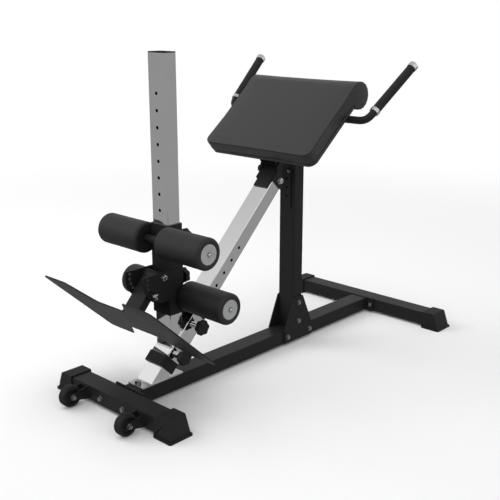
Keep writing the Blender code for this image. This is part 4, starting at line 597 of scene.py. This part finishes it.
# Handles: one bent tube, with a bright two-part ring and a bright end cap round each smooth
# rubber grip.
HANDLE_LOW, HANDLE_HIGH = Vector((0.242, 0.312, 0.866)), Vector((0.406, 0.341, 1.000))
HANDLE_RADIUS, HANDLE_CORNER = 0.0125, 0.258        # and how far from the middle the bend starts
HANDLE_PAST, BEND_BELOW = 0.0095, 0.009             # from the grip's ends to the tube's and the bend's
GRIP_RADIUS, GRIP_ROUND, GRIP_BORE = 0.0150, 0.0008, 0.0126
RING_HALF = 0.0068
RING = both_sides([(0.0124, -RING_HALF), (0.0158, -RING_HALF), (0.0165, -0.0061), (0.0165, -0.0010),
                   (0.0160, -0.0004)])
CAP_RADIUS = 0.0166
GRIP_RUBBER = moulded("moulded black rubber, smooth", "#1E1E1E", roughness=0.75, grain=0.0010,
                      depth=0.00002)
way = (HANDLE_HIGH - HANDLE_LOW).normalized()
corner = on_pad(HANDLE_ALONG, HANDLE_UP, HANDLE_CORNER)
soft = (HANDLE_LOW - corner).length * 0.45
start = HANDLE_LOW - way * BEND_BELOW
bend = interpolate_bezier(corner, corner + Y_AXIS * soft, start - way * soft, start, 28)
half = bend + [HANDLE_LOW + way * 0.02, HANDLE_HIGH + way * HANDLE_PAST]
path = [Vector((p.x, -p.y, p.z)) for p in reversed(half)] + half
bm = bmesh.new()
skin(bm, sweep(path, [HANDLE_RADIUS] * len(path), 32))
add_piece("handle_tube", bm, POWDER, "handle_bar")
top = (HANDLE_HIGH - HANDLE_LOW).length
cap_foot = top - RING_HALF
for side_name, side in SIDES:
    low = Vector((HANDLE_LOW.x, side * HANDLE_LOW.y, HANDLE_LOW.z))
    along = Vector((way.x, side * way.y, way.z))
    bm = bmesh.new()
    around(bm, RING, 48)
    add_piece("handle_ring_" + side_name, bm, ZINC, "handle_bar", low, along, hides=False)
    bm = bmesh.new()
    skin(bm, turned([(0.0158, cap_foot), (CAP_RADIUS, cap_foot + 0.0007), (CAP_RADIUS, top + 0.0086),
                     (0.0160, top + 0.0099), (0.0148, top + 0.0105), (0.0060, top + 0.0108)], 48))
    add_piece("handle_cap_" + side_name, bm, ZINC, "handle_bar", low, along, hides=False)
    bm = bmesh.new()
    foot, end = RING_HALF + 0.0002, cap_foot - 0.0002
    around(bm, [(GRIP_BORE, foot), (GRIP_RADIUS - GRIP_ROUND, foot), (GRIP_RADIUS, foot + GRIP_ROUND),
                (GRIP_RADIUS, end - GRIP_ROUND), (GRIP_RADIUS - GRIP_ROUND, end), (GRIP_BORE, end)], 40)
    add_piece("handle_grip_rubber_" + side_name, bm, GRIP_RUBBER, "handle_grip_" + side_name, low, along)


# Knobs: black nylon with six lobes, a sunk ring in the face, and a round hub. A pop pin's steel
# stem is moulded into its knob; a lock screw passes through its own.
KNOB_RADIUS, LOBE_DEEP, LOBE_COUNT, KNOB_STEPS = 0.0255, 0.0036, 6, 96
KNOB_LOW, KNOB_HIGH, KNOB_ROUND = 0.026, 0.044, 0.003
KNOB_HUB = [(0.0100, 0.0190), (0.0110, 0.0200), (0.0113, 0.0248), (0.0125, KNOB_LOW)]
KNOB_FACE = [(0.0165, KNOB_HIGH), (0.0160, KNOB_HIGH - 0.0006), (0.0125, KNOB_HIGH - 0.0006),
             (0.0120, KNOB_HIGH - 0.0002), (0.0050, KNOB_HIGH + 0.0001)]
STEM_RADIUS, STEM_TIP = 0.0050, 0.0015
STEM = [(STEM_RADIUS, 0.0165), (0.0062, 0.0170), (0.0062, 0.0192)]


def lobed_knob(name, node, at, outward, out=0.0):
    """A knob whose hub starts 19 mm, and a further distance, off the sleeve's face."""
    angles = [2 * pi * k / KNOB_STEPS for k in range(KNOB_STEPS)]
    lobes = [KNOB_RADIUS - LOBE_DEEP * (1 - cos(LOBE_COUNT * a)) / 2 for a in angles]
    rings = turned(KNOB_HUB, KNOB_STEPS)
    steps = [pi / 2 * k / 5 for k in range(6)]
    sides = [(KNOB_ROUND * (1 - sin(a)), KNOB_LOW + KNOB_ROUND * (1 - cos(a))) for a in steps]
    sides += [(0.0002, (KNOB_LOW + KNOB_HIGH) / 2)]
    sides += [(KNOB_ROUND * (1 - cos(a)), KNOB_HIGH - KNOB_ROUND * (1 - sin(a))) for a in steps]
    rings += [[((r - inset) * cos(a), (r - inset) * sin(a), z) for a, r in zip(angles, lobes)]
              for inset, z in sides]
    rings += turned(KNOB_FACE, KNOB_STEPS)
    bm = bmesh.new()
    skin(bm, [[(x, y, z + out) for x, y, z in ring] for ring in rings])
    add_piece(name, bm, NYLON, node, at, outward, crease=28.0)


def pin_stem(name, node, at, outward, out=0.0):
    """The steel stem of a pop pin, from its chamfered tip into its knob's hub."""
    axis = max(range(3), key=lambda i: abs(outward[i]))
    low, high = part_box(node)
    tip = min((low[axis] - at[axis]) * outward[axis], (high[axis] - at[axis]) * outward[axis])
    bm = bmesh.new()
    skin(bm, turned([(STEM_RADIUS - STEM_TIP, tip), (STEM_RADIUS, tip + STEM_TIP)]
                    + [(r, z + out) for r, z in STEM], 24))
    add_piece(name, bm, ZINC, node, at, outward, hides=False)


PIN_RIDES = 0.012       # the carriage's pin is out of its seat and rides on the column's face
SLIDER_PIN_AT, SLIDER_LOCK_AT = (-0.3205, -0.040, 0.2122), (-0.3995, -0.040, 0.1333)
CARRIAGE_PIN_AT, CARRIAGE_LOCK_AT = (-0.362, 0.0, 0.4987), (-0.362, 0.0, 0.373)
for name, at, outward, out in (("slider", SLIDER_PIN_AT, -Y_AXIS, 0.0),
                               ("carriage", CARRIAGE_PIN_AT, X_AXIS, PIN_RIDES)):
    lobed_knob(name + "_pin_knob", name + "_pin", at, outward, out)
    pin_stem(name + "_pin_stem", name + "_pin", at, outward, out)
for name, at, outward in (("slider", SLIDER_LOCK_AT, -Y_AXIS), ("carriage", CARRIAGE_LOCK_AT, X_AXIS)):
    lobed_knob(name + "_lock_lobes", name + "_lock_knob", at, outward)
    finish_node(name + "_lock_screw", ZINC, edge=0.0)

# The slider's pop-pin barrel and lock nut are bright: a turned barrel with a grip ring, and a
# tall hexagon nut.
BARREL = [(0.0055, 0.0), (0.0100, 0.0), (0.0100, 0.0040), (0.0093, 0.0048), (0.0093, 0.0118),
          (0.0088, 0.0124), (0.0088, 0.0132), (0.0093, 0.0138), (0.0093, 0.0164), (0.0084, 0.0174),
          (0.0055, 0.0174)]
LOCK_NUT_CORNER, LOCK_NUT_HIGH = 0.0112, 0.0122
bm = bmesh.new()
around(bm, BARREL, 40)
add_piece("slider_pin_barrel", bm, ZINC, "slider_sleeve", SLIDER_PIN_AT, -Y_AXIS, hides=False)
bm = bmesh.new()
skin(bm, hexagon(LOCK_NUT_CORNER, 0.0, LOCK_NUT_HIGH, low_cut=True))
add_piece("slider_lock_nut", bm, ZINC, "slider_sleeve", SLIDER_LOCK_AT, -Y_AXIS, hides=False)

# Detent pin: a turned pin with a waisted round head, through both sector plates and the arm's
# notch. Its head stands out on the near plate's side.
PLATE_OUT, DETENT_RADIUS, DETENT_AT = 0.0442, 0.0050, 0.064
DETENT_HEAD = [(0.0077, 0.0004), (0.0077, 0.0020), (0.0084, 0.0034), (0.0104, 0.0052), (0.0110, 0.0066),
               (0.0110, 0.0118), (0.0104, 0.0140), (0.0086, 0.0162), (0.0064, 0.0171), (0.0020, 0.0178)]
bm = bmesh.new()
skin(bm, turned([(DETENT_RADIUS - 0.0020, -0.0502), (DETENT_RADIUS, -0.0482),
                 (DETENT_RADIUS, PLATE_OUT + 0.0003)]
                + [(r, PLATE_OUT + z) for r, z in DETENT_HEAD], 40))
add_piece("detent_pin_turned", bm, ZINC_PAINTED_DARK, "detent_pin", PIVOT + ARM_WAY * DETENT_AT, -Y_AXIS)

# The small bolt on the upright's strip of holes: a bright button head with a sunk socket.
STRIP_BOLT_AT = (0.1703, -0.012, 0.640)
BUTTON = [(0.0058, 0.0), (0.0058, 0.0022), (0.0052, 0.0036), (0.0036, 0.0043), (0.0030, 0.0044),
          (0.0028, 0.0036), (0.0008, 0.0034)]
bm = bmesh.new()
skin(bm, turned(BUTTON, 32))
add_piece("strip_bolt_button", bm, ZINC, "hole_strip", STRIP_BOLT_AT, -X_AXIS, hides=False)


# Rollers: black closed-cell foam with rounded ends, slipped on a grey plastic core. The core's
# outer disc carries a raised ring, and a bright domed screw holds it on the black axle bar.
def foam_skin(name, colour):
    """Closed-cell foam with a fine skin of open pores, about 0.6 mm apart."""
    made, tree = blank(name)
    place = add_node(tree, "TexCoord").outputs["Object"]
    cloud = add_node(tree, "TexNoise", {"Vector": place, "Scale": 45.0, "Detail": 4.0}).outputs["Fac"]
    pores = add_node(tree, "TexVoronoi", {"Vector": place, "Scale": 1600.0}).outputs["Distance"]
    dark = linear(colour)
    light = tuple(c * 1.5 for c in dark[:3]) + (1.0,)
    tint = add_node(tree, "Mix", {"Factor": cloud, "A": dark, "B": light}, data_type="RGBA")
    rough = add_node(tree, "Bump", {"Height": pores, "Strength": 0.5, "Distance": 0.0004})
    waves = add_node(tree, "Bump", {"Height": cloud, "Strength": 0.25, "Distance": 0.0015,
                                    "Normal": rough.outputs["Normal"]})
    gloss = add_node(tree, "MapRange", {"Value": cloud, "To Min": 0.48, "To Max": 0.60})
    body = add_node(tree, "BsdfPrincipled", {"Base Color": tint.outputs["Result"],
                                             "Roughness": gloss.outputs["Result"],
                                             "Normal": waves.outputs["Normal"],
                                             "IOR": 1.45, "Specular IOR Level": 0.46})
    add_node(tree, "OutputMaterial", {"Surface": body.outputs[0]})
    return made


FOAM = foam_skin("closed-cell foam", "#181819")
GREY = moulded("moulded grey plastic", "#8E8F90", roughness=0.42, grain=0.0009, depth=0.0001)
ROLLER_INNER, ROLLER_OUTER, ROLLER_RADIUS, ROLLER_ROUND = 0.042, 0.230, 0.0490, 0.009
FOAM_BORE, FOAM_MOUTH, FOAM_DROOP = 0.0166, 0.0133, 0.0003
BAR_RADIUS, BAR_HALF, BAR_CHAMFER = 0.0125, 0.2268, 0.0010
# Profiles: radius, and distance from the machine's middle.
BAR = [(BAR_RADIUS - BAR_CHAMFER, -BAR_HALF), (BAR_RADIUS, -BAR_HALF + BAR_CHAMFER),
       (BAR_RADIUS, BAR_HALF - BAR_CHAMFER), (BAR_RADIUS - BAR_CHAMFER, BAR_HALF)]
CORE = [(0.0132, 0.0490), (0.0160, 0.0490), (0.0160, 0.2274), (0.0304, 0.2274), (0.0310, 0.2280),
        (0.0310, 0.2292), (0.0303, 0.2299), (0.0286, 0.2302), (0.0098, 0.2300), (0.0092, 0.2310),
        (0.0084, 0.2312), (0.0078, 0.2304), (0.0074, 0.2290), (0.0056, 0.2288), (0.0056, 0.2274),
        (0.0132, 0.2274)]
SCREW = [(0.0050, 0.2262), (0.0050, 0.2296), (0.0054, 0.2302), (0.0054, 0.2312), (0.0050, 0.2330),
         (0.0041, 0.2346), (0.0026, 0.2356), (0.0008, 0.2360)]
steps = [pi / 2 * k / 8 for k in range(9)]
rim = [(ROLLER_RADIUS - ROLLER_ROUND * (1 - sin(a)), ROLLER_OUTER - ROLLER_ROUND * (1 - cos(a)))
       for a in steps]
straight = ROLLER_OUTER - ROLLER_INNER - 2 * ROLLER_ROUND
body = [(ROLLER_RADIUS - FOAM_DROOP * sin(pi * k / 12), ROLLER_OUTER - ROLLER_ROUND - straight * k / 12)
        for k in range(1, 12)]
far = [(r, ROLLER_INNER + ROLLER_OUTER - y) for r, y in reversed(rim)]
TUBE = ([(FOAM_BORE, 0.2268), (0.0312, 0.2268), (0.0316, 0.2290), (0.0330, ROLLER_OUTER)]
        + rim + body + far
        + [(0.0150, ROLLER_INNER + 0.0002), (FOAM_MOUTH, ROLLER_INNER + 0.0014),
           (FOAM_MOUTH, ROLLER_INNER + 0.0060), (FOAM_BORE, ROLLER_INNER + 0.0062)])
for level, x, z in (("upper", -0.4348, 0.509), ("lower", -0.3492, 0.319)):
    at = (x, 0.0, z)
    bm = bmesh.new()
    skin(bm, turned(BAR, 36))
    add_piece(level + "_axle_bar", bm, POWDER, level + "_axle", at, Y_AXIS)
    for side_name, side in SIDES:
        name = "%s_roller_%s" % (level, side_name)
        bm = bmesh.new()
        around(bm, TUBE, 72)
        foam = add_piece(name + "_soft", bm, FOAM, name + "_foam", at, Y_AXIS * side, crease=50.0)
        bm = bmesh.new()
        around(bm, CORE, 64)
        add_piece(name + "_disc", bm, GREY, name + "_core", at, Y_AXIS * side)
        bm = bmesh.new()
        skin(bm, turned(SCREW, 32))
        add_piece(name + "_screw", bm, ZINC, level + "_axle", at, Y_AXIS * side, hides=False)


# Pad: vinyl with a fine leather grain, sewn from a top panel and side panels over foam. The foam
# pushes the panels out between their seams; the cloth is let out by a few millimetres.
def grained_vinyl(name, colour):
    """Vinyl with a grain of 1.3 mm cells."""
    made, tree = blank(name)
    place = add_node(tree, "TexCoord").outputs["Object"]
    cells = add_node(tree, "TexVoronoi", {"Vector": place, "Scale": 780.0},
                     feature="DISTANCE_TO_EDGE").outputs["Distance"]
    height = add_node(tree, "MapRange", {"Value": cells, "From Max": 0.18}).outputs["Result"]
    cloud = add_node(tree, "TexNoise", {"Vector": place, "Scale": 11.0, "Detail": 3.0}).outputs["Fac"]
    dark = linear(colour)
    light = tuple(c * 1.18 for c in dark[:3]) + (1.0,)
    tint = add_node(tree, "Mix", {"Factor": cloud, "A": dark, "B": light}, data_type="RGBA")
    gloss = add_node(tree, "MapRange", {"Value": cloud, "To Min": 0.38, "To Max": 0.46})
    bump = add_node(tree, "Bump", {"Height": height, "Strength": 0.35, "Distance": 0.00025})
    hide = add_node(tree, "BsdfPrincipled", {"Base Color": tint.outputs["Result"],
                                             "Roughness": gloss.outputs["Result"],
                                             "Normal": bump.outputs["Normal"],
                                             "IOR": 1.5, "Specular IOR Level": 0.54})
    add_node(tree, "OutputMaterial", {"Surface": hide.outputs[0]})
    return made


VINYL = grained_vinyl("grained vinyl", "#1F1F20")
# The seam's thread is darker than the vinyl: a real thread, and also painted shade for the crease
# between the panels.
SEAM_THREAD_SHADED = moulded("grained vinyl seam, darkened as painted crease shade", "#101011", roughness=0.70, grain=0.0008, depth=0.0001)
PAD_HALF, PAD_START, PAD_OVER, PAD_CORNER = 0.235, -0.012, 0.0765, 0.027
ROLL_AT, ROLL_RADIUS = (0.305, 0.035), 0.047
ROLL_FROM, ROLL_TO = -168, 90       # degrees round the roll, from its underside to its top
BOARD_TOP = 0.033
SEAM_IN = 0.0022        # seam inside the corner of two panels


def seam_line():
    """The seam's path from under the roll, up its end and round the top panel to the other end."""
    half = []
    side = PAD_HALF - SEAM_IN
    reach = ROLL_RADIUS - SEAM_IN
    for k in range(49):
        turn = radians(ROLL_FROM + (ROLL_TO - ROLL_FROM) * k / 48)
        half.append((ROLL_AT[0] + reach * cos(turn), side, ROLL_AT[1] + reach * sin(turn)))
    front = PAD_START + PAD_CORNER
    over = PAD_OVER - SEAM_IN
    high = ROLL_AT[1] + reach
    for k in range(1, 90):
        share = 1 - k / 90
        half.append((front + (ROLL_AT[0] - front) * share, side, over + (high - over) * share ** 3))
    bend = PAD_CORNER - SEAM_IN
    across = PAD_HALF - PAD_CORNER
    for k in range(13):
        turn = pi / 2 * k / 12
        half.append((front - bend * sin(turn), across + bend * cos(turn), over))
    half += [(PAD_START + SEAM_IN, across * (1 - k / 60), over) for k in range(1, 61)]
    half = [Vector(point) for point in half]
    return half + [Vector((p.x, -p.y, p.z)) for p in reversed(half[:-1])]


scene = bpy.context.scene
source = frame["nodes"]["hip_pad"]
mesh = source.data.copy()
mesh.transform(PAD_PLACE.inverted() @ source.matrix_world)
mesh.materials.clear()
mesh.materials.append(VINYL)
cover = bpy.data.objects.new("hip_pad_cover", mesh)
scene.collection.objects.link(cover)
cover.matrix_world = PAD_PLACE
voxels = cover.modifiers.new("voxels", "REMESH")
voxels.mode = "VOXEL"
voxels.voxel_size = 0.0040
evaluated = cover.evaluated_get(bpy.context.evaluated_depsgraph_get())
cover.data = bpy.data.meshes.new_from_object(evaluated)
cover.modifiers.clear()
seam = seam_line()
seam_tree = KDTree(len(seam))
for i, point in enumerate(seam):
    seam_tree.insert(point, i)
seam_tree.balance()
rest = [vertex.co.copy() for vertex in cover.data.vertices]
near = [seam_tree.find(point)[2] for point in rest]
SEWN = 0.005                            # the cloth is held this near to the seam
STAPLED = (0.262, BOARD_TOP + 0.003)    # or on the board, up to this length and height
FRAMES = 20
MOST = 0.0032                           # how far the foam lets the vinyl out
held = cover.vertex_groups.new(name="held")
fast = [i for i, p in enumerate(rest) if near[i] < SEWN or (p.x < STAPLED[0] and p.z < STAPLED[1])]
held.add(fast, 1.0, "REPLACE")
cloth = cover.modifiers.new("cloth", "CLOTH").settings
cloth.vertex_group_mass = "held"
cloth.effector_weights.gravity = 0.0
cloth.use_pressure = True
cloth.uniform_pressure_force = 4.0
cloth.quality = 5
for step in range(1, FRAMES + 1):
    scene.frame_set(step)
let_out = cover.evaluated_get(bpy.context.evaluated_depsgraph_get())
moved = [vertex.co.copy() for vertex in let_out.data.vertices]
scene.frame_set(1)
cover.modifiers.clear()
for vertex, start, end in zip(cover.data.vertices, rest, moved):
    way = end - start
    if way.length > 0.000001:
        vertex.co = start + way.normalized() * MOST * (1 - exp(-way.length / MOST))
cover.data.update()
PUCKER_HIGH, PUCKER_WIDE, PUCKER_APART = 0.0003, 0.010, 0.0130
CREST_HIGH, CREST_WIDE = 0.0021, 0.0034
normals = [vertex.normal.copy() for vertex in cover.data.vertices]
for i, vertex in enumerate(cover.data.vertices):
    waves = sin(2 * pi * (rest[i].x + rest[i].y) / PUCKER_APART)
    pucker = PUCKER_HIGH * exp(-near[i] / PUCKER_WIDE) * waves
    vertex.co += normals[i] * (pucker + CREST_HIGH * exp(-(near[i] / CREST_WIDE) ** 2))
cover.data.shade_smooth()
finer = cover.modifiers.new("finer", "SUBSURF")
finer.levels = finer.render_levels = 1
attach(cover, "base")
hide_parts("hip_pad")
bpy.context.view_layer.update()
THREAD_RADIUS, THREAD_OFF = 0.0009, 0.0001
line = []
for point in seam:
    _, spot, normal, _ = cover.closest_point_on_mesh(point)
    line.append(spot + normal * THREAD_OFF)
bm = bmesh.new()
skin(bm, sweep(line, [THREAD_RADIUS] * len(line), 8))
bmesh.ops.transform(bm, matrix=PAD_PLACE, verts=bm.verts)
add_piece("hip_pad_seam", bm, SEAM_THREAD_SHADED, "hip_pad", hides=False, crease=60.0)

# The board under the cushion is birch plywood. The vinyl is pulled round its edge and stapled
# to its underside, 32 mm apart along the sides and 38 mm apart at the ends.
BOARD_START, BOARD_HALF, BOARD_END, BOARD_UNDER = -0.009, 0.232, 0.254, 0.021
BOARD_CORNER, PLY_INSET = 0.004, 0.0046
GRAIN_SCALE = (240.0, 14.0, 240.0)      # streaks 4 mm apart and 70 mm long


def board_ring(inset, height):
    """The board's outline in plan, moved inwards, at a height."""
    ring = []
    for x, y, radius, first in ((BOARD_END, 1, BOARD_CORNER, 0.0), (BOARD_START, 1, PAD_CORNER, 0.5),
                                (BOARD_START, -1, PAD_CORNER, 1.0), (BOARD_END, -1, BOARD_CORNER, 1.5)):
        bend = max(0.0005, radius - inset)
        inward = 1 if x == BOARD_START else -1
        middle = (x + inward * (inset + bend), y * (BOARD_HALF - inset - bend))
        for k in range(13):
            turn = pi * (first + 0.5 * k / 12)
            ring.append(on_pad(middle[0] + bend * cos(turn), height, middle[1] + bend * sin(turn)))
    return ring


def birch(name):
    """Birch plywood, its grain across the pad."""
    made, tree = blank(name)
    place = add_node(tree, "TexCoord").outputs["Object"]
    stretched = add_node(tree, "VectorMath", {0: place, 1: GRAIN_SCALE},
                         operation="MULTIPLY").outputs["Vector"]
    grain = add_node(tree, "TexNoise", {"Vector": stretched, "Scale": 1.0, "Detail": 4.0}).outputs["Fac"]
    tint = add_node(tree, "Mix", {"Factor": grain, "A": linear("#A98457"), "B": linear("#D2B285")},
                    data_type="RGBA")
    bump = add_node(tree, "Bump", {"Height": grain, "Strength": 0.2, "Distance": 0.0002})
    wood = add_node(tree, "BsdfPrincipled", {"Base Color": tint.outputs["Result"], "Roughness": 0.7,
                                             "Normal": bump.outputs["Normal"]})
    add_node(tree, "OutputMaterial", {"Surface": wood.outputs[0]})
    return made


WRAP = ((0.0040, 0.0331), (0.0004, 0.0331), (-0.0010, 0.0324), (-0.0015, 0.0310), (-0.0015, 0.0240),
        (-0.0010, 0.0222), (0.0000, 0.0212), (0.0015, 0.0207), (0.0240, 0.0207), (0.0245, 0.0209),
        (0.0240, 0.0211), (0.0045, 0.0213))
bm = bmesh.new()
skin(bm, [board_ring(inset, height) for inset, height in WRAP], loop=True)
add_piece("pad_board_wrap", bm, VINYL, "pad_board", crease=50.0)
bm = bmesh.new()
skin(bm, [board_ring(PLY_INSET, BOARD_UNDER + 0.0002), board_ring(PLY_INSET, BOARD_TOP - 0.0004)])
add_piece("pad_board_ply", bm, birch("birch plywood"), "pad_board", hides=False)

STAPLE_HALF, STAPLE_LEG, STAPLE_RADIUS = 0.005, 0.0015, 0.0004
STAPLE_LOW, STAPLE_SIDE = BOARD_UNDER - 0.0006, BOARD_HALF - 0.015
SIDE_ROW = [0.018 + 0.03154 * k for k in range(6)]
END_ROW = [-0.190 + 0.038 * k for k in range(11)]
staples = [(Vector((x, side * STAPLE_SIDE, STAPLE_LOW)), X_AXIS)
           for side_name, side in SIDES for x in SIDE_ROW]
staples += [(Vector((x, y, STAPLE_LOW)), Y_AXIS)
            for x in (BOARD_END - 0.013, BOARD_START + 0.014) for y in END_ROW]
bm = bmesh.new()
for middle, along in staples:
    ends = [middle - along * STAPLE_HALF, middle + along * STAPLE_HALF]
    wire = [ends[0] + Z_AXIS * STAPLE_LEG, *ends, ends[1] + Z_AXIS * STAPLE_LEG]
    skin(bm, sweep([PAD_PLACE @ point for point in wire], [STAPLE_RADIUS] * 4, 6))
add_piece("pad_staples", bm, ZINC, "pad_board", hides=False)
